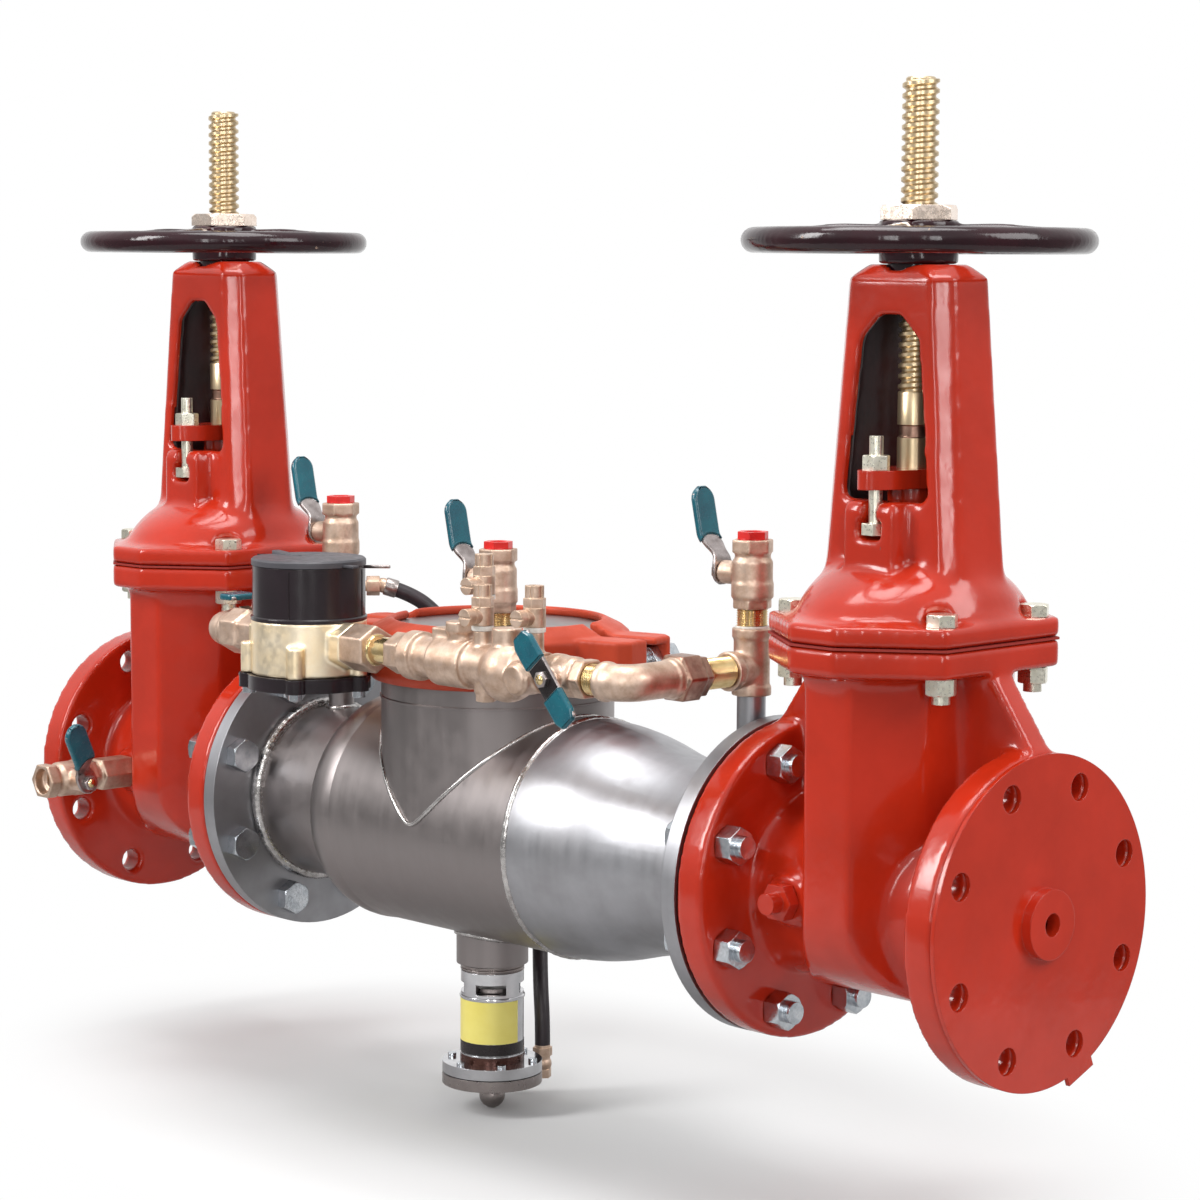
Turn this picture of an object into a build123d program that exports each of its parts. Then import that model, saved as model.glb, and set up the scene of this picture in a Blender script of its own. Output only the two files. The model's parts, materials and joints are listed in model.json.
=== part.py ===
from build123d import *
import math
import os

# Reduced pressure detector assembly. Millimetres. The origin is the centre of the inlet flange
# face, +X runs with the flow, +Y to the rear and +Z up. Every size here can be set by itself.

# Pipe flanges and bores
flange_od = 228.6
bolt_circle = 190.5
bolt_count = 8
bolt_hole_d = 19.0
port_d = 101.6
gasket_t = 1.6
flange_bolt_d = 15.9
flange_bolt_af = 24.0
flange_bolt_head_t = 10.5
flange_nut_t = 14.0
stud_proud = 6.0

# Gate valve body
valve_face_to_face = 228.6
valve_flange_t = 23.8
valve_neck_r = 64.0
chamber_half_x = 50.0
chamber_half_y = 88.0
chamber_face_half_x = 20.0
chamber_side_half_y = 45.0
chamber_floor_depth = 67.0
chamber_spring_z = -5.0
body_plate_z = 164.0
body_plate_t = 19.0
plate_half_x = 80.0
plate_half_y = 105.0
plate_side_half_y = 60.0
plate_end_half_x = 19.0
seat_gap_half = 30.0
wedge_space_r = 62.0
web_t = 22.0
side_boss_x = -52.0
side_boss_r = 18.0
side_boss_y = -70.0
side_tap_r = 9.5

# Bonnet, a dome with a yoke tower on top
bonnet_plate_t = 13.9
dome_half_x = 73.0
dome_half_y = 91.0
dome_top_z = 238.0
tower_top_z = 437.0
tower_chamfer_z = 428.0
tower_foot_half_x = 63.0
tower_foot_half_y = 35.0
tower_head_half_x = 46.5
tower_head_half_y = 29.5
tower_corner = 12.0
tower_wall = 8.0
tower_roof_t = 22.0
window_foot_z = 278.0
window_top_z = 403.0
window_foot_half_x = 37.5
window_top_half_x = 25.5
window_fillet = 6.0
stuffing_r = 27.0
stuffing_top_z = 274.0
packing_r = 19.0
packing_foot_z = 244.0
packing_top_z = 266.0
lug_half_x = 22.0
lug_reach_y = 49.0
bonnet_bolt_x = 66.0
bonnet_bolt_y = 49.0
bonnet_bolt_d = 12.7
bonnet_bolt_af = 19.0
bonnet_bolt_head_t = 8.5
bonnet_nut_t = 11.0

# Stem, wedge, yoke nut and handwheel
stem_d = 25.4
stem_top_z = 563.0
thread_pitch = 7.0
thread_depth = 2.4
thread_foot_z = 351.0
collar_groove_z = 324.0
collar_groove_t = 9.0
stroke = 106.0
wedge_r = 55.0
wedge_half_t = 22.0
# The wedge closes on the bore's centre line, so it stands open one stroke above it
wedge_lift_z = stroke
stem_foot_z = 171.0
stem_head_r = 15.0
stem_head_t = 8.0
wheel_d = 242.0
wheel_z = 453.0
wheel_rim_r = 8.8
wheel_hub_r = 27.0
wheel_hub_top_z = 467.0
spoke_count = 4
yoke_nut_r = 21.0
yoke_nut_neck_r = 18.0
yoke_nut_flange_r = 24.5
yoke_nut_flange_t = 6.0
wheel_nut_af = 48.0
wheel_nut_t = 10.0
turning_gap = 0.3
running_gap = 0.08
seat_gap = 0.3

# Gland follower and its bolts
gland_gap = 12.0
gland_t = 13.0
gland_half_y = 56.0
gland_half_x = 19.0
gland_bolt_y = 41.0
gland_bolt_d = 9.5
gland_bolt_top_z = 322.0
gland_bolt_foot_z = 255.0
gland_nut_af = 17.0
gland_nut_t = 10.0
gland_head_t = 8.0

# Blanking plate on the outlet face
blank_t = 3.2
blank_boss_r = 24.0
blank_boss_t = 7.5
blank_hole_r = 8.0

# Stainless case
case_face_to_face = 535.2
case_flange_t = 12.7
case_wall = 4.0
neck_r = 70.6
weld_bead_r = 75.5
tube_r = 92.0
shoulder_start = -178.0
shoulder_end = -136.0
seam_x = 68.0
reducer_end = 212.0
riser_x = -38.0
riser_r = 91.5
riser_top_z = 143.0
riser_band_z = 99.6
riser_band_t = 9.4
key_groove_z = 126.0
key_groove_t = 8.0
key_groove_depth = 2.6
stub_r = 10.5
inlet_stub_x = -230.0
outlet_stub_x = 233.0
stub_top_z = 140.0
relief_x = -44.0
socket_r = 28.5
socket_foot_z = -114.0
relief_port_r = 15.0

# Grooved coupling and cover plate
ring_foot_z = 114.5
ring_top_z = 162.0
ring_wall = 7.0
ring_lip = 10.5
gasket_room = 5.0
ring_shoulder_z = 155.5
ring_turn_deg = 13.0
half_split = 6.0
ear_length = 37.5
ear_half_y = 36.0
ear_shelf_t = 6.0
ear_pad_t = 12.0
ear_bolt_inset = 15.0
ear_bolt_z = 134.0
lock_nut_t = 11.0
cover_r = 92.0
cover_top_z = 155.0
cover_t = 11.0
coupling_bolt_d = 15.9
coupling_bolt_af = 22.0
coupling_nut_t = 13.0
coupling_gasket_t = 3.6

# Check valves inside the case
seat_ring_t = 14.0
seat_bore_r = 50.0
first_seat_x = -132.0
second_seat_x = 52.0
hinge_rise = 66.0
hinge_ahead = 12.0
clapper_r = 58.0
clapper_t = 9.0
hinge_pin_r = 4.0
knuckle_r = 8.0

# Relief valve under the case
relief_r = 25.0
relief_wall = 4.0
relief_top_z = -120.0
relief_window_top_z = -129.0
relief_window_foot_z = -137.0
relief_guide_z = -146.0
relief_foot_z = -193.0
relief_disc_r = 39.75
relief_disc_t = 8.5
relief_cover_t = 8.5
diaphragm_t = 0.9
relief_neck_r = 6.8
relief_ball_r = 10.3
relief_ball_z = -222.2
plunger_travel = 4.0
plunger_rod_r = 5.0
plunger_disc_r = 17.5
plunger_foot_r = 17.0
spring_r = 13.0
spring_wire_r = 1.6
spring_turns = 6

# Bypass line in front of the case
bypass_z = 146.0
bypass_ring_gap = 1.067
pipe_r = 10.65
pipe_bore_r = 8.0
fitting_r = 13.2
collar_r = 14.4
hex_af = 28.0
union_af = 32.0
tee_foot_z = 127.0
tee_top_z = 176.0
tee_reach = 26.0
close_elbow_reach = 22.0
long_elbow_reach = 47.0
elbow_collar_t = 5.5
cock_foot_z = 190.0
cover_cock_foot_z = 165.0
inlet_cock_y = -107.0

# Water meter
meter_x = -114.4
meter_r = 44.5
meter_foot_z = 121.3
meter_top_z = 163.4
register_r = 43.6
register_top_z = 205.0
lid_t = 5.5
meter_boss_r = 6.4
meter_plate_t = 11.0
meter_plate_r = 48.0
meter_port_r = 14.5
meter_port_reach = 55.0
meter_boss_h = 24.0
meter_screw_r = 2.6
union_t = 26.0
meter_boss_angles = (15, 135, 225, 308)
relief_screw_count = 6
relief_screw_circle_r = 33.5
relief_screw_r = 1.9
relief_screw_bite = 6.0

# Ball valves
cock_length = 50.0
cock_body_r = 15.4
stem_share = 0.49
cock_stem_reach = 28.5
cock_bore_r = 7.0
cock_ball_r = 10.5
handle_t = 3.0
handle_w = 21.0
handle_length = 60.0
sleeve_t = 5.0
plug_t = 5.6
plug_af = 22.0
wing_length = 78.0
wing_w = 20.0
shutoff_length = 46.0
shutoff_inlet_y = -59.5
shutoff_outlet_x = 153.0
shutoff_stem_reach = 21.0
cock_plug_r = 3.6
# How far each handle stands from open in the photograph, in degrees about its stem
rest_turn = {"inlet_valve_cock": 60.0, "bypass_outlet_shutoff": 49.0}

# Small test cocks on the bypass check valve
bypass_check_x0 = 4.4
small_plug_r = 3.6
small_stem_z = 10.0
small_stem_reach = 11.0

# Sensing hose
hose_d = 12.5
hose_spigot_r = 4.5
relief_spigot_r = 4.0
hose_port_z = 171.0
hose_port_dir = (0.64, 0.77)
hose_port_start = 12.0

inlet_axis_x = valve_face_to_face / 2
case_start_x = valve_face_to_face + gasket_t
case_end_x = case_start_x + case_face_to_face
centre_x = (case_start_x + case_end_x) / 2
outlet_axis_x = case_end_x + gasket_t + valve_face_to_face / 2
outlet_face_x = outlet_axis_x + valve_face_to_face / 2
bonnet_foot_z = body_plate_z + body_plate_t + gasket_t
bonnet_plate_top_z = bonnet_foot_z + bonnet_plate_t
# The gland stands above its stuffing box, and the coupling closes round the riser.
gland_z = stuffing_top_z + gland_gap
ring_bore_r = riser_r + gasket_room
ring_outer_r = ring_bore_r + ring_wall
ring_inner_r = riser_r - ring_lip
ear_reach = ring_outer_r + ear_length
ear_bolt_x = ear_reach - ear_bolt_inset
# The bypass line runs in front, where the meter just clears the coupling.
bypass_y = -math.sqrt((ring_outer_r + meter_r + bypass_ring_gap) ** 2 - (riser_x - meter_x) ** 2)

os.makedirs("parts", exist_ok=True)


def rod_x(r, x0, x1, y=0, z=0):
    return Pos((x0 + x1) / 2, y, z) * Rot(0, 90, 0) * Cylinder(r, abs(x1 - x0))


def rod_y(r, y0, y1, x=0, z=0):
    return Pos(x, (y0 + y1) / 2, z) * Rot(90, 0, 0) * Cylinder(r, abs(y1 - y0))


def rod_z(r, z0, z1, x=0, y=0):
    return Pos(x, y, (z0 + z1) / 2) * Cylinder(r, abs(z1 - z0))


def block(x0, x1, y0, y1, z0, z1):
    return Pos((x0 + x1) / 2, (y0 + y1) / 2, (z0 + z1) / 2) * Box(x1 - x0, y1 - y0, z1 - z0)


def hexagon(af, t):
    # A hexagonal prism on +Z, its foot at zero, with its top corners turned down.
    prism = extrude(RegularPolygon(af / 2, 6, major_radius=False), t)
    cone = Cone(af * 0.52 + t, af * 0.52, t, align=(Align.CENTER, Align.CENTER, Align.MIN))
    return prism & cone


def hex_z(af, z0, z1, x=0, y=0):
    return Pos(x, y, z0) * extrude(RegularPolygon(af / 2, 6, major_radius=False), z1 - z0)


def hex_x(af, x0, x1, y=0, z=0):
    return Pos(x0, y, z) * Rot(0, 90, 0) * extrude(RegularPolygon(af / 2, 6, major_radius=False), x1 - x0)


def hex_y(af, y0, y1, x=0, z=0):
    return Pos(x, y1, z) * Rot(90, 0, 0) * extrude(RegularPolygon(af / 2, 6, major_radius=False), y1 - y0)


def turned_z(points):
    # A solid turned about Z from a list of (radius, height) points.
    return revolve(make_face(Plane.XZ * Polyline(*points, close=True)), Axis.Z)


def turned_x(points):
    # A solid turned about X from a list of (distance, radius) points.
    return revolve(make_face(Plane.XZ * Polyline(*points, close=True)), Axis.X)


def bolt_places():
    # Y and Z of each bolt; the holes straddle the vertical centre line.
    angles = [math.radians(360 / bolt_count * (k + 0.5)) for k in range(bolt_count)]
    return [(bolt_circle / 2 * math.cos(a), bolt_circle / 2 * math.sin(a)) for a in angles]


def flange_holes(x0, x1):
    holes = None
    for y, z in bolt_places():
        hole = rod_x(bolt_hole_d / 2, x0 - 1, x1 + 1, y, z)
        holes = hole if holes is None else holes + hole
    return holes


def octagon(half_x, half_y, end_half_x, side_half_y):
    # The eight corners of a plate whose corners are cut off.
    return [(half_x, side_half_y), (end_half_x, half_y), (-end_half_x, half_y), (-half_x, side_half_y),
            (-half_x, -side_half_y), (-end_half_x, -half_y), (end_half_x, -half_y), (half_x, -side_half_y)]


def octagon_face(half_x, half_y, end_half_x, side_half_y, z):
    corners = octagon(half_x, half_y, end_half_x, side_half_y)
    return Pos(0, 0, z) * make_face(Polyline(*corners, close=True))


def plate(z0, z1):
    face = octagon_face(plate_half_x, plate_half_y, plate_end_half_x, plate_side_half_y, z0)
    return extrude(face, z1 - z0, dir=(0, 0, 1))


def cover_bolt_holes(z0, z1, r):
    holes = None
    for sx in (-1, 1):
        for sy in (-1, 1):
            hole = rod_z(r, z0 - 1, z1 + 1, sx * bonnet_bolt_x, sy * bonnet_bolt_y)
            holes = hole if holes is None else holes + hole
    return holes


def valve_body():
    # Two pipe necks, a deep chamber for the wedge and the octagonal plate that carries the bonnet.
    half = valve_face_to_face / 2
    wall_top = body_plate_z + 1
    profile = Plane.YZ * (Pos(0, chamber_spring_z) * Ellipse(chamber_half_y,
                                                             chamber_floor_depth + chamber_spring_z))
    profile += Plane.YZ * (Pos(0, (wall_top + chamber_spring_z) / 2)
                           * Rectangle(2 * chamber_half_y, wall_top - chamber_spring_z))
    chamber = extrude(profile, chamber_half_x, both=True)
    plan = octagon_face(chamber_half_x, chamber_half_y, chamber_face_half_x, chamber_side_half_y, -flange_od)
    chamber = chamber & extrude(plan, flange_od + wall_top, dir=(0, 0, 1))
    body = chamber + rod_x(valve_neck_r, -half, half)
    body += plate(body_plate_z, body_plate_z + body_plate_t)
    for side in (-1, 1):
        body += rod_x(flange_od / 2, side * half, side * (half - valve_flange_t))
        web = Polyline((side * (chamber_half_x - 6), valve_neck_r - 8), (side * (half - 2), valve_neck_r - 8),
                       (side * (half - 2), flange_od / 2 + 2), (side * (plate_half_x - 2), body_plate_z + 1),
                       (side * (chamber_half_x - 6), body_plate_z + 1), close=True)
        web_face = make_face(Plane.XZ * web)
        body += extrude(web_face, web_t / 2, both=True)
    body += rod_y(side_boss_r, -valve_neck_r + 14, side_boss_y, side_boss_x)
    bore = rod_x(port_d / 2, -half - 1, half + 1)
    space = rod_x(wedge_space_r, -seat_gap_half, seat_gap_half)
    space += block(-seat_gap_half, seat_gap_half, -wedge_space_r, wedge_space_r, 0, body_plate_z + body_plate_t + 1)
    tap = rod_y(side_tap_r, -port_d / 2 + 6, side_boss_y - 1, side_boss_x)
    body -= space
    for side in (-1, 1):
        body += rod_x(wedge_r + 2, side * (wedge_half_t + seat_gap), side * (seat_gap_half + 2))
    body = body - bore - tap
    body -= flange_holes(-half, -half + valve_flange_t)
    body -= flange_holes(half - valve_flange_t, half)
    body -= cover_bolt_holes(body_plate_z, body_plate_z + body_plate_t, bonnet_bolt_d / 2 + 0.5)
    return body


def tower_face(z, inset=0.0):
    # The tower narrows from its foot to its head, so each level has its own outline.
    foot_z = bonnet_plate_top_z
    share = (z - foot_z) / (tower_chamfer_z - foot_z)
    half_x = tower_foot_half_x + (tower_head_half_x - tower_foot_half_x) * share - inset
    half_y = tower_foot_half_y + (tower_head_half_y - tower_foot_half_y) * share - inset
    return octagon_face(half_x, half_y, half_x - tower_corner, half_y - tower_corner, z)


def window():
    # The arched opening in both broad faces of the tower, through which the gland is reached.
    arc_r = window_top_half_x * 0.62
    sketch = Polyline((-window_foot_half_x, window_foot_z), (window_foot_half_x, window_foot_z),
                      (window_top_half_x, window_top_z - arc_r), (window_top_half_x - arc_r, window_top_z),
                      (-window_top_half_x + arc_r, window_top_z), (-window_top_half_x, window_top_z - arc_r),
                      close=True)
    cut = extrude(make_face(Plane.XZ * sketch), 2 * gland_half_y, both=True)
    return fillet(cut.edges().filter_by(Axis.Y), window_fillet)


def bonnet():
    # Plate, dome over the raised wedge, hollow yoke tower, stuffing box and the lugs of the gland bolts.
    dome = loft([Pos(0, 0, bonnet_plate_top_z - 1) * Ellipse(dome_half_x, dome_half_y),
                 Pos(0, 0, bonnet_plate_top_z + 13) * Ellipse(dome_half_x - 3, dome_half_y - 9),
                 Pos(0, 0, bonnet_plate_top_z + 27) * Ellipse(dome_half_x - 10, dome_half_y - 29),
                 Pos(0, 0, dome_top_z) * Ellipse(dome_half_x - 22, dome_half_y - 54)])
    tower = loft([tower_face(bonnet_plate_top_z - 1), tower_face(tower_chamfer_z)])
    head = loft([tower_face(tower_chamfer_z), tower_face(tower_chamfer_z, 9.5).moved(
        Location((0, 0, tower_top_z - tower_chamfer_z)))])
    room = loft([tower_face(dome_top_z + 14, tower_wall), tower_face(tower_top_z - tower_roof_t, tower_wall)])
    lugs = block(-lug_half_x, lug_half_x, -lug_reach_y, lug_reach_y, bonnet_plate_top_z, window_foot_z)
    lug_trim = loft([Pos(0, 0, bonnet_plate_top_z - 1) * Rectangle(90, 190),
                     Pos(0, 0, window_foot_z + 1) * Rectangle(2 * lug_half_x + 1, 2 * (lug_reach_y - 4))])
    bonnet_solid = plate(bonnet_foot_z, bonnet_plate_top_z) + dome + tower + head + (lugs & lug_trim)
    bonnet_solid -= room
    bonnet_solid += rod_z(stuffing_r, dome_top_z - 10, stuffing_top_z)
    bonnet_solid -= window()
    for side in (-1, 1):
        slot_r = gland_bolt_d / 2 + 1.2
        y0 = side * (gland_bolt_y - slot_r)
        y1 = side * (lug_reach_y + 5)
        low_y, high_y = min(y0, y1), max(y0, y1)
        bonnet_solid -= block(-slot_r, slot_r, low_y, high_y, gland_bolt_foot_z, window_foot_z + 1)
        pocket_half = gland_nut_af / 2 + 2.2
        inner = side * (gland_bolt_y - pocket_half + 1)
        low_y, high_y = min(inner, y1), max(inner, y1)
        bonnet_solid -= block(-pocket_half, pocket_half, low_y, high_y,
                              gland_bolt_foot_z - 3, gland_bolt_foot_z + gland_head_t + 3)
    wedge_room = rod_x(wedge_space_r, -seat_gap_half, seat_gap_half, 0, body_plate_z)
    wedge_room &= block(-60, 60, -90, 90, bonnet_foot_z - 1, dome_top_z)
    bonnet_solid -= wedge_room
    bonnet_solid -= rod_z(stem_d / 2 + turning_gap, bonnet_foot_z, stuffing_top_z + 1)
    bonnet_solid -= rod_z(packing_r, packing_foot_z, stuffing_top_z + 1)
    bonnet_solid -= rod_z(yoke_nut_r + turning_gap, tower_top_z - tower_roof_t - 1, tower_top_z + 1)
    roof_z = tower_top_z - tower_roof_t
    bonnet_solid -= rod_z(yoke_nut_flange_r + turning_gap, roof_z - yoke_nut_flange_t - 2, roof_z)
    bonnet_solid -= cover_bolt_holes(bonnet_foot_z, bonnet_plate_top_z, bonnet_bolt_d / 2 + 0.5)
    for sx in (-1, 1):
        for sy in (-1, 1):
            bonnet_solid -= rod_z(bonnet_bolt_af * 0.64, bonnet_plate_top_z, bonnet_plate_top_z + 12,
                                  sx * bonnet_bolt_x, sy * bonnet_bolt_y)
    return bonnet_solid


def gland_follower():
    # An oval flange with a sleeve that presses on the packing.
    oval = extrude(Pos(0, 0, gland_z) * Ellipse(gland_half_x, gland_half_y), gland_t)
    boss = rod_z(stuffing_r - 3, gland_z, gland_z + gland_t)
    sleeve = rod_z(packing_r - seat_gap, packing_top_z, gland_z + 1)
    follower = oval + boss + sleeve - rod_z(stem_d / 2 + turning_gap, packing_top_z - 1, gland_z + gland_t + 1)
    for side in (-1, 1):
        follower -= rod_z(gland_bolt_d / 2 + 0.6, gland_z - 1, gland_z + gland_t + 1, 0, side * gland_bolt_y)
    return follower


def gland_bolts():
    bolts = []
    for side in (-1, 1):
        y = side * gland_bolt_y
        shank = rod_z(gland_bolt_d / 2, gland_bolt_foot_z, gland_bolt_top_z, 0, y)
        head = hex_z(gland_nut_af, gland_bolt_foot_z, gland_bolt_foot_z + gland_head_t, 0, y)
        nut_z = gland_z + gland_t
        nut = Pos(0, y, nut_z) * hexagon(gland_nut_af, gland_nut_t)
        bolts.append(shank + head + nut)
    return bolts


def stem_packing():
    outer = rod_z(packing_r - seat_gap / 3, packing_foot_z, packing_top_z)
    return outer - rod_z(stem_d / 2 + running_gap, packing_foot_z - 1, packing_top_z + 1)


def stem():
    # The outline is turned: a head that sits in the wedge, a smooth shank, a grooved collar, the thread.
    r = stem_d / 2
    root = r - thread_depth
    points = [(0, stem_foot_z), (stem_head_r, stem_foot_z), (stem_head_r, stem_foot_z + stem_head_t),
              (r, stem_foot_z + stem_head_t), (r, collar_groove_z - collar_groove_t / 2),
              (r - 1.2, collar_groove_z - collar_groove_t / 2 + 1),
              (r - 1.2, collar_groove_z + collar_groove_t / 2 - 1), (r, collar_groove_z + collar_groove_t / 2)]
    turns = int((stem_top_z - thread_foot_z) / thread_pitch)
    for k in range(turns):
        z = thread_foot_z + k * thread_pitch
        points += [(r, z), (root, z + 0.2 * thread_pitch), (root, z + 0.45 * thread_pitch),
                   (r, z + 0.65 * thread_pitch)]
    points += [(r, stem_top_z - 1.5), (r - 1.5, stem_top_z), (0, stem_top_z)]
    return turned_z(points)


def wedge():
    # The gate that closes the bore, with a slotted boss that hangs on the stem's head.
    z = wedge_lift_z
    disc = rod_x(wedge_r, -wedge_half_t, wedge_half_t, 0, z)
    taper = Polyline((-wedge_half_t, z - wedge_r - 1), (-wedge_half_t + 4, z - wedge_r - 1),
                     (-wedge_half_t + 1, z + wedge_r + 1), (-wedge_half_t, z + wedge_r + 1), close=True)
    side_cut = extrude(make_face(Plane.XZ * taper), wedge_r + 5, both=True)
    disc = disc - side_cut - mirror(side_cut, about=Plane.YZ)
    boss_top = stem_foot_z + stem_head_t + 9
    disc += block(-wedge_half_t + 2, wedge_half_t - 2, -24, 24, z + wedge_r - 22, boss_top)
    gap = seat_gap
    slot = block(-wedge_half_t - 5, wedge_half_t + 5, -stem_head_r - gap, stem_head_r + gap,
                 stem_foot_z - gap, stem_foot_z + stem_head_t + gap)
    slot += block(-wedge_half_t - 5, wedge_half_t + 5, -stem_d / 2 - gap, stem_d / 2 + gap,
                  stem_foot_z, boss_top + 1)
    return disc - slot


def yoke_nut():
    # The threaded bush that the handwheel turns; its flange bears under the roof of the tower.
    roof_z = tower_top_z - tower_roof_t
    foot = roof_z - seat_gap - yoke_nut_flange_t
    top = wheel_hub_top_z + wheel_nut_t - 1.5
    nut = rod_z(yoke_nut_flange_r, foot, roof_z - seat_gap)
    nut += rod_z(yoke_nut_r, foot, tower_top_z + seat_gap)
    nut += rod_z(yoke_nut_neck_r, foot, top)
    return nut - rod_z(stem_d / 2 + turning_gap, foot - 1, top + 1)


def wheel_nut():
    nut = Pos(0, 0, wheel_hub_top_z) * hexagon(wheel_nut_af, wheel_nut_t)
    return nut - rod_z(yoke_nut_neck_r, wheel_hub_top_z - 1, wheel_hub_top_z + wheel_nut_t + 1)


def handwheel():
    rim_mid = wheel_d / 2 - wheel_rim_r
    wheel = Pos(0, 0, wheel_z) * Torus(rim_mid, wheel_rim_r)
    wheel += rod_z(wheel_hub_r, tower_top_z + seat_gap, wheel_hub_top_z)
    for k in range(spoke_count):
        path = FilletPolyline((wheel_hub_r - 6, 0, wheel_z + 3), (wheel_hub_r + 26, 9, wheel_z + 4),
                              (rim_mid - 22, 9, wheel_z + 1), (rim_mid + 1, 0, wheel_z), radius=40)
        section = Plane(origin=path @ 0, z_dir=path % 0) * Ellipse(6.0, 8.0)
        spoke = sweep(section, path=path)
        wheel += Rot(0, 0, 360 / spoke_count * k + 20) * spoke
    return wheel - rod_z(yoke_nut_neck_r, tower_top_z - 1, wheel_hub_top_z + 1)


def blanking_plate():
    # A thin disc bolted through the same holes, with a centre boss and a lifting tab.
    x0 = outlet_face_x
    disc = rod_x(flange_od / 2, x0, x0 + blank_t) + rod_x(blank_boss_r, x0, x0 + blank_t + blank_boss_t)
    tab = Rot(22, 0, 0) * block(x0, x0 + blank_t, -14, 14, -flange_od / 2 - 6, -flange_od / 2 + 10)
    disc += tab
    disc -= rod_x(blank_hole_r, x0 - 1, x0 + blank_t + blank_boss_t + 1)
    return disc - flange_holes(x0, x0 + blank_t)


def side_plug():
    x = outlet_axis_x + side_boss_x
    thread = rod_y(side_tap_r, -port_d / 2, side_boss_y, x)
    head = hex_y(24, side_boss_y - 10, side_boss_y, x)
    square = rod_y(7.5, side_boss_y - 20, side_boss_y - 10, x)
    return thread + head + square


def flange_bolts(x_head, x_nut, toward):
    # Heads bear on the case flange, nuts on the valve flange.
    bolts = []
    for y, z in bolt_places():
        ends = sorted((x_head, x_nut + toward * (flange_nut_t + stud_proud)))
        shank = rod_x(flange_bolt_d / 2, ends[0], ends[1], y, z)
        head = Rot(0, -90 * toward, 0) * hexagon(flange_bolt_af, flange_bolt_head_t)
        nut = Rot(0, 90 * toward, 0) * hexagon(flange_bolt_af, flange_nut_t)
        bolts.append(shank + Pos(x_head, y, z) * head + Pos(x_nut, y, z) * nut)
    return bolts


def bonnet_bolts(axis_x):
    bolts = []
    top = bonnet_plate_top_z
    foot = body_plate_z
    for sx in (-1, 1):
        for sy in (-1, 1):
            x = axis_x + sx * bonnet_bolt_x
            y = sy * bonnet_bolt_y
            shank = rod_z(bonnet_bolt_d / 2, foot - bonnet_nut_t - 6, top, x, y)
            head = Pos(x, y, top) * hexagon(bonnet_bolt_af, bonnet_bolt_head_t)
            nut = Pos(x, y, foot) * Rot(180, 0, 0) * hexagon(bonnet_bolt_af, bonnet_nut_t)
            bolts.append(shank + head + nut)
    return bolts


def case_profile(grow):
    # The tube's outline from flange to flange; grow is 0 outside and minus the wall inside.
    start = case_start_x - centre_x
    end = case_end_x - centre_x
    reach = 1 if grow < 0 else 0
    mid_x = (seam_x + reducer_end) / 2
    mid_r = (tube_r + neck_r) / 2 + grow
    low = neck_r + grow
    high = tube_r + grow
    bend = ThreePointArc((shoulder_start, low), (shoulder_start + 12, low + 0.72 * (high - low)),
                         (shoulder_end, high))
    fall = TangentArc((seam_x, high), (mid_x, mid_r), tangent=(1, 0))
    level = TangentArc((mid_x, mid_r), (reducer_end, low), tangent=fall % 1)
    lines = Polyline((reducer_end, low), (end + reach, low), (end + reach, 0), (start - reach, 0),
                     (start - reach, low), (shoulder_start, low))
    edges = bend.edges() + Line((shoulder_end, high), (seam_x, high)).edges() + fall.edges()
    edges = edges + level.edges() + lines.edges()
    face = make_face(Plane.XZ * Wire(edges))
    return Pos(centre_x, 0, 0) * revolve(face, Axis.X)


def main_case():
    # One stainless weldment: flanges, tube with a reducer, riser, pipe stubs and the relief socket.
    x0 = case_start_x
    x1 = case_end_x
    rx = centre_x + riser_x
    case = case_profile(0)
    for near, far in ((x0, x0 + case_flange_t), (x1 - case_flange_t, x1)):
        case += rod_x(flange_od / 2, near, far)
    for x in (x0 + case_flange_t, x1 - case_flange_t - 8):
        case += rod_x(weld_bead_r - 1, x, x + 8)
    case += Pos(centre_x + seam_x, 0, 0) * Rot(0, 90, 0) * Torus(tube_r - 2, 3.2)
    case += rod_z(riser_r, 0, riser_top_z, rx)
    case += rod_z(riser_r + 1.2, riser_band_z, riser_band_z + 1.6, rx)
    case += rod_z(socket_r, socket_foot_z, -tube_r + 12, centre_x + relief_x)
    case += rod_z(relief_r - 1, relief_top_z, -tube_r + 12, centre_x + relief_x)
    for x in (inlet_stub_x, outlet_stub_x):
        case += rod_z(stub_r, neck_r - 6, stub_top_z, centre_x + x)
    case -= case_profile(-case_wall)
    case -= rod_z(riser_r - case_wall, 0, riser_top_z + 1, rx)
    groove = rod_z(riser_r + 5, key_groove_z, key_groove_z + key_groove_t, rx)
    groove -= rod_z(riser_r - key_groove_depth, key_groove_z - 1, key_groove_z + key_groove_t + 1, rx)
    case -= groove
    case -= rod_z(relief_port_r, relief_top_z - 1, -tube_r + 20, centre_x + relief_x)
    for x in (inlet_stub_x, outlet_stub_x):
        case -= rod_z(stub_r - 2.6, neck_r - 12, stub_top_z + 1, centre_x + x)
    case -= flange_holes(x0, x0 + case_flange_t)
    case -= flange_holes(x1 - case_flange_t, x1)
    return case


def access_cover():
    # The plate over the riser, with a rim groove for the coupling and a tapped hole for the test cock.
    rx = centre_x + riser_x
    cover = rod_z(cover_r, cover_top_z - cover_t, cover_top_z, rx)
    edge = rod_z(cover_r + 3, cover_top_z - 5.5, cover_top_z + 1, rx)
    edge -= rod_z(cover_r - 7, cover_top_z - 6.5, cover_top_z + 2, rx)
    return cover - edge - rod_z(pipe_r, cover_top_z - cover_t - 1, cover_top_z + 1, rx)


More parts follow.
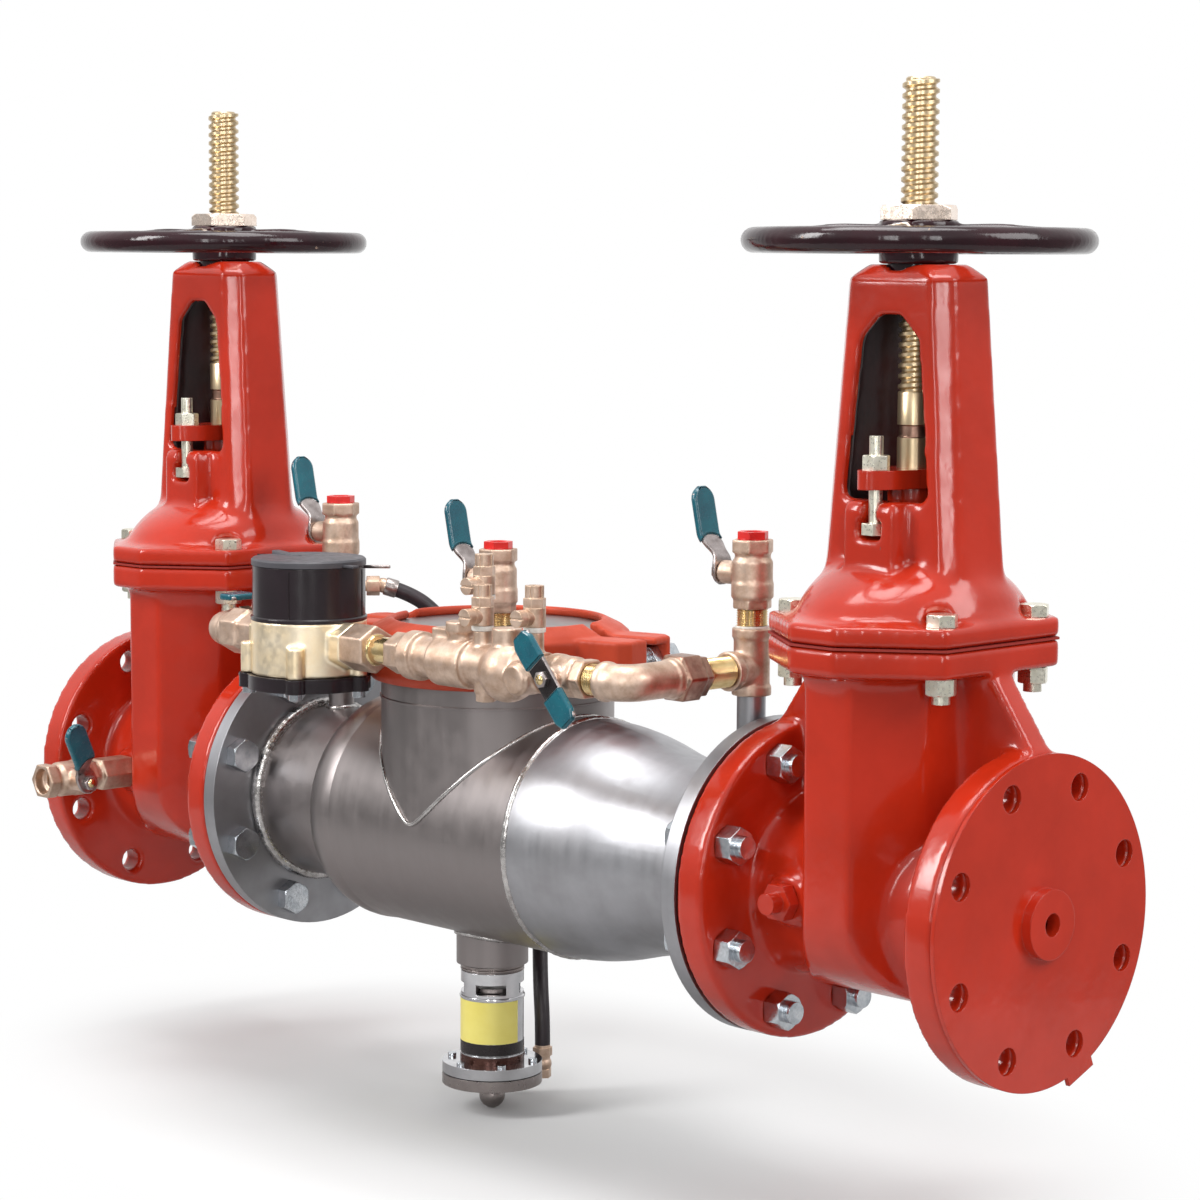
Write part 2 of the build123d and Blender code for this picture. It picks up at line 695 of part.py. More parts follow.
def coupling_ring():
    # The whole ring before it is cut in two: a channel section with keys, and a pair of bolt ears.
    in_r = riser_r - key_groove_depth + seat_gap
    key_top = key_groove_z + key_groove_t - seat_gap
    key_foot = key_groove_z + seat_gap
    cover_key_z = cover_top_z - 5.5 + seat_gap
    ring = turned_z([(riser_r + seat_gap, ring_foot_z), (ring_outer_r - 5, ring_foot_z),
                     (ring_outer_r, ring_foot_z + 6), (ring_outer_r, ring_shoulder_z - 5),
                     (ring_outer_r - 6, ring_shoulder_z), (ring_inner_r + 3, ring_top_z),
                     (ring_inner_r, ring_top_z - 1), (ring_inner_r, cover_top_z + seat_gap),
                     (cover_r - 7 + seat_gap, cover_top_z + seat_gap), (cover_r - 7 + seat_gap, cover_key_z),
                     (cover_r + seat_gap, cover_key_z), (ring_bore_r, cover_key_z), (ring_bore_r, key_top),
                     (in_r, key_top), (in_r, key_foot), (riser_r + seat_gap, key_foot)])
    for side in (-1, 1):
        near = side * (ring_outer_r - 8)
        far = side * ear_reach
        x0, x1 = min(near, far), max(near, far)
        foot = ring_foot_z + 4
        top = ring_shoulder_z - 2
        pad_y = ear_half_y - ear_pad_t
        ear = block(x0, x1, -ear_half_y, 0, foot, top)
        ear += block(x0, x1, 0, ear_half_y, top - ear_shelf_t, top)
        ear += block(x0, x1, pad_y, ear_half_y, foot, top)
        corner = [e for e in ear.edges().filter_by(Axis.Z) if abs(e.center().X) > ear_reach - 1
                  and abs(e.center().Y) > ear_half_y - 1]
        ear = chamfer(corner, 8)
        ring += ear - rod_z(ring_outer_r - 9, ring_foot_z - 5, ring_top_z + 5)
        ring -= rod_y(coupling_bolt_d / 2, -ear_half_y + 8, 0, side * ear_bolt_x, ear_bolt_z)
        ring -= rod_y(coupling_bolt_d / 2 + 0.8, pad_y - 1, ear_half_y + 1, side * ear_bolt_x, ear_bolt_z)
    return ring


def coupling_half(side):
    half = coupling_ring() & block(-200, 200, min(side * half_split, side * 200), max(side * half_split, side * 200),
                                   0, 300)
    return Pos(centre_x + riser_x, 0, 0) * Rot(0, 0, ring_turn_deg) * half


def coupling_bolts():
    # Each screw passes the rear pad, carries a lock nut and runs into the tapped front ear.
    bolts = []
    pad_y = ear_half_y - ear_pad_t
    for side in (-1, 1):
        x = side * ear_bolt_x
        shank = rod_y(coupling_bolt_d / 2, -ear_half_y + 10, ear_half_y, x, ear_bolt_z)
        head = Pos(x, ear_half_y, ear_bolt_z) * Rot(-90, 0, 0) * hexagon(coupling_bolt_af, coupling_nut_t)
        nut = Pos(x, pad_y, ear_bolt_z) * Rot(90, 0, 0) * hexagon(coupling_bolt_af, lock_nut_t)
        bolts.append(Pos(centre_x + riser_x, 0, 0) * Rot(0, 0, ring_turn_deg) * (shank + head + nut))
    return bolts


def flat_ring(outer_r, inner_r, x0):
    return rod_x(outer_r, x0, x0 + gasket_t) - rod_x(inner_r, x0 - 1, x0 + gasket_t + 1)


def gaskets():
    rings = [flat_ring(bolt_circle / 2 - bolt_hole_d / 2 - 1, port_d / 2, valve_face_to_face),
             flat_ring(bolt_circle / 2 - bolt_hole_d / 2 - 1, port_d / 2, case_end_x)]
    for x in (inlet_axis_x, outlet_axis_x):
        z0 = body_plate_z + body_plate_t
        sheet = plate(z0, z0 + gasket_t) - block(-seat_gap_half - 1, seat_gap_half + 1, -wedge_space_r - 1,
                                                 wedge_space_r + 1, z0 - 1, z0 + gasket_t + 1)
        sheet -= cover_bolt_holes(z0, z0 + gasket_t, bonnet_bolt_d / 2 + 0.5)
        rings.append(Pos(x, 0, 0) * sheet)
    seal_foot = key_groove_z + key_groove_t + 1
    seal = rod_z(riser_r + coupling_gasket_t, seal_foot, cover_top_z - 6)
    seal -= rod_z(riser_r + seat_gap / 3, seal_foot - 1, riser_top_z + seat_gap)
    seal -= rod_z(cover_r + seat_gap / 3, riser_top_z, cover_top_z)
    rings.append(Pos(centre_x + riser_x, 0, 0) * seal)
    return rings


def check_seat(x):
    # A ring that seals in the tube, with two lugs that carry the clapper's hinge pin.
    outer = tube_r - case_wall - seat_gap
    ring = rod_x(outer, x, x + seat_ring_t) - rod_x(seat_bore_r, x - 1, x + seat_ring_t + 1)
    hinge_x = x + seat_ring_t + hinge_ahead
    for side in (-1, 1):
        y = side * 22
        lug = block(x + seat_ring_t - 1, hinge_x, y - 4, y + 4, hinge_rise - 8, hinge_rise + 8)
        lug += rod_y(8, y - 4, y + 4, hinge_x, hinge_rise)
        ring += lug
    return ring + rod_y(hinge_pin_r, -26, 26, hinge_x, hinge_rise)


def clapper(x):
    # The flap lies on the seat and swings up with the flow on two knuckles round the hinge pin.
    face_x = x + seat_ring_t + seat_gap
    hinge_x = x + seat_ring_t + hinge_ahead
    flap = rod_x(clapper_r, face_x, face_x + clapper_t)
    flap -= block(face_x - 1, face_x + clapper_t + 1, -70, 70, hinge_rise - knuckle_r - 6, 90)
    arm_foot = 20
    for side in (-1, 1):
        y = side * 11
        arm = block(face_x + clapper_t - 2, hinge_x + 6, y - 4, y + 4, arm_foot, hinge_rise)
        arm += rod_y(knuckle_r, y - 4, y + 4, hinge_x, hinge_rise)
        flap += arm
    rib = rod_x(16, face_x + clapper_t - 1, face_x + clapper_t + 7)
    flap += rib
    return flap - rod_y(hinge_pin_r + running_gap, -40, 40, hinge_x, hinge_rise)


def check_springs():
    # A torsion spring coiled round each hinge pin, between the clapper's knuckles.
    coils = []
    for x in (first_seat_x, second_seat_x):
        hinge_x = centre_x + x + seat_ring_t + hinge_ahead
        ring = rod_y(hinge_pin_r + 2.6, -5.5, 5.5, hinge_x, hinge_rise)
        coils.append(ring - rod_y(hinge_pin_r + seat_gap, -6.5, 6.5, hinge_x, hinge_rise))
    return coils


def relief_screw_rods(r, z0, z1):
    # One rod for each screw of the relief valve's cover.
    rods = []
    for k in range(relief_screw_count):
        angle = math.radians(360 / relief_screw_count * (k + 0.5))
        rods.append(rod_z(r, z0, z1, centre_x + relief_x + relief_screw_circle_r * math.cos(angle),
                          relief_screw_circle_r * math.sin(angle)))
    return rods


def relief_valve_body():
    x = centre_x + relief_x
    body = rod_z(relief_r, relief_foot_z - relief_disc_t, relief_top_z)
    body += rod_z(relief_disc_r, relief_foot_z - relief_disc_t, relief_foot_z)
    body -= rod_z(relief_r - relief_wall, relief_window_foot_z - 1.5, relief_window_top_z + 0.5)
    body -= rod_z(relief_port_r, relief_window_top_z - 1, relief_top_z + 1)
    body -= rod_z(relief_r - relief_wall, relief_foot_z - relief_disc_t - 1, relief_guide_z)
    body -= rod_z(plunger_rod_r + turning_gap, relief_guide_z - 1, relief_window_foot_z)
    for angle in (-45, 45, 135, 225):
        slot = block(8, relief_r + 4, -12, 12, relief_window_foot_z, relief_window_top_z)
        body -= Rot(0, 0, angle) * slot
    body = Pos(x, 0, 0) * body
    for rod in relief_screw_rods(relief_screw_r + 0.1, relief_foot_z - relief_disc_t - 1, relief_foot_z + 1):
        body -= rod
    return body


def relief_diaphragm():
    z = relief_foot_z - relief_disc_t
    sheet = rod_z(relief_disc_r - 1, z - diaphragm_t, z, centre_x + relief_x)
    for rod in relief_screw_rods(relief_screw_r + 0.1, z - diaphragm_t - 1, z + 1):
        sheet -= rod
    return sheet


def relief_cover():
    # The lower disc with the side port of the hose, and the ball-ended weight under it.
    x = centre_x + relief_x
    top = relief_foot_z - relief_disc_t - diaphragm_t
    cover = rod_z(relief_disc_r, top - relief_cover_t, top, x)
    cover += rod_z(relief_neck_r, relief_ball_z, top - relief_cover_t, x)
    cover += rod_z(relief_neck_r + 3, top - relief_cover_t - 3, top - relief_cover_t, x)
    cover += Pos(x, 0, relief_ball_z) * Sphere(relief_ball_r)
    port_z = top - relief_cover_t / 2
    cover -= rod_y(relief_spigot_r, relief_disc_r - 3, relief_disc_r + 1, x, port_z)
    for rod in relief_screw_rods(relief_screw_r + 0.1, top - relief_screw_bite, top + 1):
        cover -= rod
    return cover - rod_y(2.5, 0, relief_disc_r + 1, x, port_z) - rod_z(3, port_z, top + 1, x)


def relief_plunger():
    # At rest the spring holds it down, so the valve stands open; pressure under it lifts it shut.
    seat_z = relief_window_top_z - plunger_travel
    foot_z = relief_foot_z - relief_disc_t + seat_gap
    plunger = rod_z(plunger_disc_r, seat_z - 4, seat_z - seat_gap)
    plunger += rod_z(plunger_rod_r, foot_z, seat_z - 2)
    plunger += rod_z(plunger_foot_r, foot_z, foot_z + 5)
    return Pos(centre_x + relief_x, 0, 0) * plunger


def relief_spring():
    top = relief_guide_z - spring_wire_r - seat_gap
    foot = relief_foot_z - relief_disc_t + seat_gap + 5 + spring_wire_r + seat_gap
    coils = Helix((top - foot) / spring_turns, top - foot, spring_r)
    start = coils @ 0
    section = Plane(origin=start, z_dir=coils % 0) * Circle(spring_wire_r)
    spring = sweep(section, path=coils, is_frenet=True)
    return Pos(centre_x + relief_x, 0, foot) * spring


def nipple(start, end):
    # A short threaded pipe between two points.
    line = Vector(*end) - Vector(*start)
    base = Plane(origin=Vector(*start), z_dir=line)
    return extrude(base * (Circle(pipe_r) - Circle(pipe_bore_r)), line.length)


def tee(x, z_mid):
    # A stack tee with collars at its three mouths; the branch points to the front.
    z0 = tee_foot_z
    z1 = tee_top_z
    body = rod_z(fitting_r, z0, z1, x) + rod_y(fitting_r - 0.6, -tee_reach, 0, x, z_mid)
    for z in (z0, z1 - 7):
        body += rod_z(collar_r, z, z + 7, x)
    body += rod_y(collar_r, -tee_reach, -tee_reach + 7, x, z_mid)
    inner = rod_y(pipe_bore_r - 0.6, -tee_reach - 1, 0, x, z_mid)
    inner += rod_y(pipe_r, -tee_reach - 1, -tee_reach + 10, x, z_mid)
    inner += rod_z(pipe_bore_r, z0 - 1, z1 + 1, x)
    inner += rod_z(pipe_r, z0 - 1, stub_top_z + seat_gap, x) + rod_z(pipe_r, z1 - 10, z1 + 1, x)
    return body - inner


def elbow(x, y, z, dir_a, dir_b, reach_a, reach_b):
    # A cast elbow whose two mouths point along dir_a and dir_b.
    corner = Vector(x, y, z)
    a = corner + Vector(*dir_a) * reach_a
    b = corner + Vector(*dir_b) * reach_b
    path = FilletPolyline(a, corner, b, radius=close_elbow_reach - elbow_collar_t - 1)
    body = sweep(Plane(origin=a, z_dir=path % 0) * Circle(fitting_r), path=path)
    inner = sweep(Plane(origin=a, z_dir=path % 0) * Circle(pipe_bore_r), path=path)
    for end, direction in ((a, dir_a), (b, dir_b)):
        back = Plane(origin=end, z_dir=Vector(*direction) * -1)
        body += extrude(back * Circle(collar_r), elbow_collar_t)
        inner += extrude(back * Circle(pipe_r), elbow_collar_t + 0.5)
    return body - inner


def placed(shape, origin, x_dir, z_dir):
    # Carries a shape drawn about its own Z axis to where it sits in the assembly.
    return Plane(origin=Vector(*origin), x_dir=Vector(*x_dir), z_dir=Vector(*z_dir)).location * shape


def hose_port_axis():
    # Where the hose fitting leaves the inlet stack, and its direction.
    stack = Vector(centre_x + inlet_stub_x, 0, hose_port_z)
    return stack, Vector(hose_port_dir[0], hose_port_dir[1], 0).normalized()


def bypass_pipework():
    # Tees on the two stubs, elbows, nipples and the union that carry the metered line.
    lx = centre_x + inlet_stub_x
    rx = centre_x + outlet_stub_x
    y = bypass_y
    z = bypass_z
    stack, away = hose_port_axis()
    port = extrude(Plane(origin=stack + away * hose_port_start, z_dir=away) * Circle(hose_spigot_r), 20)
    pieces = [tee(lx, z) - port, tee(rx, z),
              elbow(lx, y, z, (0, 1, 0), (1, 0, 0), close_elbow_reach, close_elbow_reach),
              elbow(rx, y, z, (0, 1, 0), (-1, 0, 0), long_elbow_reach, close_elbow_reach)]
    for x in (lx, rx):
        pieces.append(nipple((x, 0, tee_top_z - 9), (x, 0, cock_foot_z + 6)))
    cover_x = centre_x + riser_x
    pieces.append(nipple((cover_x, 0, cover_top_z - cover_t), (cover_x, 0, cover_cock_foot_z + 6)))
    pieces.append(nipple((lx, -tee_reach + 8, z), (lx, shutoff_inlet_y - 6, z)))
    pieces.append(nipple((lx, y + close_elbow_reach - elbow_collar_t, z), (lx, shutoff_inlet_y - shutoff_length + 6, z)))
    pieces.append(nipple((rx, -tee_reach + 8, z), (rx, y + long_elbow_reach - elbow_collar_t, z)))
    union_y = y + long_elbow_reach
    union = hex_y(union_af, union_y, union_y + union_t - 8, rx, z)
    union += hex_y(hex_af, union_y + union_t - 8, union_y + union_t, rx, z)
    pieces.append(union - rod_y(pipe_r, y, 0, rx, z))
    start = centre_x + shutoff_outlet_x + shutoff_length
    pieces.append(nipple((start - 6, y, z), (rx - close_elbow_reach + elbow_collar_t, y, z)))
    return pieces


def meter_couplings():
    # Union nuts and tailpieces on both sides of the meter.
    y = bypass_y
    z = bypass_z
    mx = centre_x + meter_x
    left = centre_x + inlet_stub_x + close_elbow_reach
    port = mx - meter_port_reach
    inlet = rod_x(pipe_r, left - elbow_collar_t, port, y, z) + hex_x(union_af, left, left + 19, y, z)
    inlet += hex_x(hex_af, left + 19, port, y, z)
    inlet -= rod_x(pipe_bore_r, left - 9, port + 1, y, z)
    right = centre_x + bypass_check_x0
    start = mx + meter_port_reach
    outlet = rod_x(pipe_r, start, right, y, z) + hex_x(union_af, start, start + union_t, y, z)
    outlet += hex_x(hex_af, right - 15, right, y, z)
    outlet -= rod_x(pipe_bore_r, start - 1, right + 1, y, z)
    return [inlet, outlet]


def meter_body():
    # The bronze body: a round measuring chamber with two ports and four screw bosses.
    mx = centre_x + meter_x
    body = rod_z(meter_r, meter_foot_z, meter_top_z, mx, bypass_y)
    port = hex_x(2 * meter_port_r + 3, mx - meter_port_reach, mx + meter_port_reach, bypass_y, bypass_z)
    body += port & block(mx - 99, mx + 99, bypass_y - 99, bypass_y + 99, meter_foot_z, meter_top_z)
    for angle in meter_boss_angles:
        x = mx + (meter_r + 2) * math.cos(math.radians(angle))
        y = bypass_y + (meter_r + 2) * math.sin(math.radians(angle))
        body += rod_z(meter_boss_r, meter_foot_z, meter_foot_z + meter_boss_h, x, y)
        body -= rod_z(meter_screw_r, meter_foot_z - 1, meter_foot_z + meter_boss_h - 6, x, y)
    body -= rod_z(meter_r - 6, meter_foot_z - 1, meter_top_z - 6, mx, bypass_y)
    return body - rod_x(pipe_bore_r, mx - meter_port_reach - 1, mx + meter_port_reach + 1, bypass_y, bypass_z)


def meter_bottom_plate():
    mx = centre_x + meter_x
    z0 = meter_foot_z - meter_plate_t
    disc = rod_z(meter_plate_r, z0, meter_foot_z, mx, bypass_y)
    for angle in meter_boss_angles:
        x = mx + (meter_r + 2) * math.cos(math.radians(angle))
        y = bypass_y + (meter_r + 2) * math.sin(math.radians(angle))
        disc += rod_z(meter_boss_r + 1.5, z0, meter_foot_z, x, y)
        disc -= rod_z(meter_screw_r + 0.2, z0 - 1, meter_foot_z + 1, x, y)
    return disc - rod_z(ring_outer_r + 1, z0 - 1, meter_foot_z + 1, centre_x + riser_x)


def small_screws():
    # The meter's bottom screws and the screws of the relief valve's cover.
    screws = []
    mx = centre_x + meter_x
    z0 = meter_foot_z - meter_plate_t
    for angle in meter_boss_angles:
        x = mx + (meter_r + 2) * math.cos(math.radians(angle))
        y = bypass_y + (meter_r + 2) * math.sin(math.radians(angle))
        screws.append(rod_z(meter_screw_r, z0, meter_foot_z + meter_boss_h - 8, x, y)
                      + rod_z(5.2, z0 - 5, z0, x, y))
    tip_z = relief_foot_z - relief_disc_t - diaphragm_t - relief_screw_bite + 0.5
    shanks = relief_screw_rods(relief_screw_r, tip_z, relief_foot_z)
    heads = relief_screw_rods(3.4, relief_foot_z, relief_foot_z + 2.6)
    return screws + [shank + head for shank, head in zip(shanks, heads)]


def meter_register():
    # The black can that holds the dial, open at the top under the lid.
    mx = centre_x + meter_x
    can = rod_z(register_r, meter_top_z, register_top_z, mx, bypass_y)
    can -= rod_z(register_r - 4, register_top_z - 9, register_top_z + 1, mx, bypass_y)
    can += rod_z(2.4, register_top_z - 10, register_top_z - 8, mx, bypass_y)
    lug_y = bypass_y
    for side in (-1, 1):
        can += block(mx - register_r - 5, mx - register_r + 3, lug_y + side * 9 - 3, lug_y + side * 9 + 3,
                     register_top_z - 8, register_top_z + lid_t)
    return can - rod_y(1.6, lug_y - 20, lug_y + 20, mx - register_r - 2, register_top_z + lid_t - 3)


def meter_lid():
    # A hinged lid with a thin lifting tab on the far side of its hinge.
    mx = centre_x + meter_x
    z0 = register_top_z + seat_gap
    lid = rod_z(register_r + 0.6, z0, z0 + lid_t, mx, bypass_y)
    lid = chamfer(lid.edges().group_by(Axis.Z)[-1], 1.5)
    notch = block(mx - register_r - 8, mx - register_r + 4, bypass_y - 13, bypass_y + 13, z0 - 1, z0 + lid_t + 1)
    lid -= notch
    lid += block(mx - register_r - 4.5, mx - register_r + 5, bypass_y - 5.4, bypass_y + 5.4, z0, z0 + lid_t - 1)
    lid += rod_y(1.5, bypass_y - 12, bypass_y + 12, mx - register_r - 2, register_top_z + lid_t - 3)
    tab = block(mx + register_r - 4, mx + register_r + 13, bypass_y - 3, bypass_y + 3, z0 + 0.6, z0 + 2.2)
    return lid + tab


def meter_pointer():
    mx = centre_x + meter_x
    z0 = register_top_z - 8 + seat_gap
    pointer = rod_z(3.5, z0, z0 + 1.6, mx, bypass_y)
    return pointer + block(mx - 10, mx + 33, bypass_y - 1.1, bypass_y + 1.1, z0, z0 + 1.2)


def cock_ports():
    # The three small test ports of the bypass check valve, as their feet stand on its body.
    y = bypass_y
    return [(centre_x + 85, y, bypass_z + 25.5), (centre_x + 140, y, bypass_z + 29),
            (centre_x + 62.5, y + 22, bypass_z + 45)]


def bypass_check_body():
    # The small reduced pressure valve of the bypass: barrel, chamber bulge, caps, ports and drain plug.
    y = bypass_y
    z = bypass_z
    cx = centre_x
    x0 = cx + bypass_check_x0
    x1 = cx + shutoff_outlet_x
    body = rod_x(15, x0, x1, y, z) + rod_x(18.5, x0 + 3, x0 + 16, y, z)
    body += Pos(cx + 113, y, z - 3) * Sphere(22)
    body += rod_x(18.5, cx + 40, cx + 76, y, z - 1)
    body += rod_y(12.5, y - 18, y, cx + 139, z - 4) + rod_y(10.5, y - 21, y, cx + 139, z - 4)
    body += rod_z(9.5, z, z + 24, cx + 62, y) + hex_z(21, z + 22, z + 30, cx + 62, y)
    body += rod_z(11, z, z + 29, cx + 111, y)
    body += rod_z(9, z - 20, z, cx + 89, y) + hex_z(14, z - 27, z - 19, cx + 89, y)
    third = cock_ports()[2]
    for px, py, pz in cock_ports():
        body += rod_z(7, z - 4, pz, px, py)
    body += rod_y(6, y, third[1], third[0], z + 3)
    body += block(cx + 36, cx + 54, y - 6, y + 6, z + 12, z + 24)
    return body - rod_x(pipe_bore_r, x0 - 1, x1 + 1, y, z)


def small_cock_bodies():
    # Each small cock: seat ring, round body, hex, slotted outlet, and a side hole for its stem.
    bodies = []
    for x, y, z in cock_ports():
        body = rod_z(7.5, z, z + 3.5, x, y) + rod_z(8.2, z + 3.5, z + 17, x, y)
        body += hex_z(14.5, z + 17, z + 24, x, y) + rod_z(6.9, z + 24, z + 33, x, y)
        body += rod_y(6.2, y - small_stem_reach, y, x, z + small_stem_z)
        body -= rod_z(2.4, z - 1, z + 34, x, y)
        body -= rod_y(small_plug_r + running_gap, y - small_stem_reach - 1, y + 6, x, z + small_stem_z)
        for k in range(6):
            slot = Pos(x, y, z + 29) * Rot(0, 0, 60 * k) * (Pos(7.3, 0, 0) * Box(2.2, 2.4, 9))
            body -= slot
        bodies.append(body)
    return bodies


def small_cock_stem(index):
    # The plug of a small cock, with its round turning knob and a screwdriver slot.
    x, y, z = cock_ports()[index]
    z += small_stem_z
    knob_foot = y - small_stem_reach - seat_gap
    stem_part = rod_y(small_plug_r, knob_foot, y + 5.5, x, z) + rod_y(6.3, knob_foot - 7, knob_foot, x, z)
    stem_part -= rod_z(2.2, z - 9, z + 9, x, y)
    return stem_part - block(x - 7, x + 7, knob_foot - 8, knob_foot - 5.8, z - 0.8, z + 0.8)


def stem_reach(length):
    return shutoff_stem_reach if length == shutoff_length else cock_stem_reach


def ball_valve_body(length):
    # Drawn along Z from its foot, with the stem boss towards -X.
    mid = length * stem_share
    r = cock_body_r
    body = turned_z([(cock_bore_r, 0), (12.6, 0), (12.6, 6), (r, 8), (r, length * 0.36), (r - 0.7, length * 0.4),
                     (r - 0.7, length * 0.68), (12.8, length * 0.74), (12.8, length - 9), (12.8, length),
                     (cock_bore_r, length)])
    body += hex_z(hex_af - 2.5, 0, 6) + hex_z(hex_af - 1, length - 10, length)
    body -= rod_z(cock_bore_r, -1, length + 1)
    body -= rod_z(pipe_r, -1, 9) + rod_z(pipe_r, length - 9, length + 1)
    body += rod_x(8.6, -stem_reach(length), -cock_bore_r - 3, 0, mid)
    body -= Pos(0, 0, mid) * Sphere(cock_ball_r + turning_gap)
    return body - rod_x(cock_plug_r + running_gap, -stem_reach(length) - 1, 0, 0, mid)


def ball_and_stem(length):
    mid = length * stem_share
    ball = Pos(0, 0, mid) * Sphere(cock_ball_r) - rod_z(cock_bore_r - 0.4, mid - 15, mid + 15)
    return ball + rod_x(cock_plug_r, -stem_reach(length) - handle_t - 5, -cock_ball_r + 1.5, 0, mid)


def lever(length):
    # A bent plate lever with a thick dipped grip, pointing along the bore when the valve is open.
    mid = length * stem_share
    x0 = -stem_reach(length) - seat_gap
    t = handle_t
    near = [(x0, mid - 9.5), (x0, mid + 11), (x0 - 14, mid + 25), (x0 - 22, mid + handle_length)]
    far = [(x - t, z) for x, z in reversed(near)]
    strap = extrude(make_face(Plane.XZ * Polyline(*(near + far), close=True)), handle_w / 2 - 1, both=True)
    grip_near = [(x0 - 12, mid + 22), (x0 - 13.3, mid + 25), (x0 - 21, mid + handle_length + 1)]
    grip_far = [(x - sleeve_t, z) for x, z in reversed(grip_near)]
    grip = extrude(make_face(Plane.XZ * Polyline(*(grip_near + grip_far), close=True)), handle_w / 2, both=True)
    outline = rod_x(handle_w / 2, x0 - 60, x0 + 5, 0, mid + handle_length + 1 - handle_w / 2)
    outline += block(x0 - 60, x0 + 5, -handle_w / 2, handle_w / 2, mid, mid + handle_length + 1 - handle_w / 2)
    outline += rod_x(9.5, x0 - 60, x0 + 5, 0, mid)
    nut = Pos(x0 - t, 0, mid) * Rot(0, -90, 0) * hexagon(11, 4.5)
    stem_hole = rod_x(cock_plug_r, x0 - 30, x0 + 5, 0, mid)
    return ((strap + grip) & outline) + nut - stem_hole


def wing(length):
    # A two-winged handle for a shutoff valve, along the bore when the valve is open.
    mid = length * stem_share
    x0 = -stem_reach(length) - seat_gap
    bar = block(x0 - handle_t, x0, -wing_w / 2, wing_w / 2, mid - wing_length / 2, mid + wing_length / 2)
    bar = fillet(bar.edges().filter_by(Axis.X), 4)
    nut = Pos(x0 - handle_t, 0, mid) * Rot(0, -90, 0) * hexagon(11, 4.5)
    return bar + nut - rod_x(cock_plug_r, x0 - 30, x0 + 5, 0, mid)


def cock_plug(length):
    body = hex_z(plug_af - 2, length, length + plug_t) + rod_z(pipe_r - 0.2, length - 8, length + 0.5)
    return body - rod_z(6.5, length + 1.5, length + plug_t + 1)


def valve_places():
    # Origin, X direction, Z direction and length of each ball valve, keyed by the name of its handle.
    lx = centre_x + inlet_stub_x
    cx = centre_x + riser_x
    tx = inlet_axis_x + side_boss_x
    return {
        "inlet_valve_cock": ((tx, inlet_cock_y, 0), (-1, 0, 0), (0, -1, 0), cock_length),
        "case_inlet_cock": ((centre_x + inlet_stub_x, 0, cock_foot_z), (1, 0, 0), (0, 0, 1), cock_length),
        "cover_cock": ((cx, 0, cover_cock_foot_z), (1, 0, 0), (0, 0, 1), cock_length),
        "case_outlet_cock": ((centre_x + outlet_stub_x, 0, cock_foot_z), (1, 0, 0), (0, 0, 1), cock_length),
        "bypass_inlet_shutoff": ((lx, shutoff_inlet_y, bypass_z), (0, 0, -1), (0, -1, 0), shutoff_length),
        "bypass_outlet_shutoff": ((centre_x + shutoff_outlet_x, bypass_y, bypass_z), (0, 1, 0), (1, 0, 0),
                                  shutoff_length),
    }


def turned_about_stem(shape, length, degrees):
    mid = length * stem_share
    return Pos(0, 0, mid) * Rot(degrees, 0, 0) * Pos(0, 0, -mid) * shape


def valve_handle(name):
    origin, x_dir, z_dir, length = valve_places()[name]
    handle = wing(length) if "shutoff" in name else lever(length)
    turned = [turned_about_stem(piece, length, rest_turn.get(name, 0)) for piece in (handle, ball_and_stem(length))]
    return [placed(piece, origin, x_dir, z_dir) for piece in turned]


def valve_bodies(kind):
    bodies = []
    for name, (origin, x_dir, z_dir, length) in valve_places().items():
        if kind in name:
            bodies.append(placed(ball_valve_body(length), origin, x_dir, z_dir))
    return bodies


def outlet_plugs():
    plugs = []
    for name in ("case_inlet_cock", "cover_cock", "case_outlet_cock"):
        origin, x_dir, z_dir, length = valve_places()[name]
        plugs.append(placed(cock_plug(length), origin, x_dir, z_dir))
    return plugs


def inlet_cock_nipple():
    x = inlet_axis_x + side_boss_x
    tube = rod_y(side_tap_r, inlet_cock_y + 8, -port_d / 2, x) + rod_y(pipe_r, inlet_cock_y - 8, inlet_cock_y + 9, x)
    bush = hex_y(hex_af - 2, inlet_cock_y + 6, side_boss_y, x)
    return tube + bush - rod_y(6, inlet_cock_y - 9, -port_d / 2 + 1, x)


def hose_route():
    # Where the sensing hose runs, from its fitting over the inlet, round the back and down to the relief valve.
    points = [(-205, 30, 170), (-192, 45, 164), (-178, 61, 147), (-168, 77, 120), (-160, 92, 84), (-149, 106, 38),
              (-130, 112, -12), (-102, 103, -62), (-74, 80, -106), (-53, 61, -143), (-44, 55, -172),
              (-44, 55, -191)]
    return [Vector(centre_x + x, y, z) for x, y, z in points]


def bend_radii(points):
    radii = []
    for a, b, c in zip(points, points[1:], points[2:]):
        turn = (b - a).get_angle(c - b)
        radii.append(0.45 * min((b - a).length, (c - b).length) / math.tan(math.radians(turn / 2)))
    return radii


def sensing_hose():
    points = hose_route()
    radii = bend_radii(points)
    path = FilletPolyline(*points, radius=radii)
    section = Plane(origin=path @ 0, z_dir=path % 0) * Circle(hose_d / 2)
    hose = sweep(section, path=path)
    print("hose radii", [round(r) for r in radii], "length", round(path.length, 1))
    print("hose volume", round(hose.volume), "section by length", round(math.pi * hose_d ** 2 / 4 * path.length))
    return hose


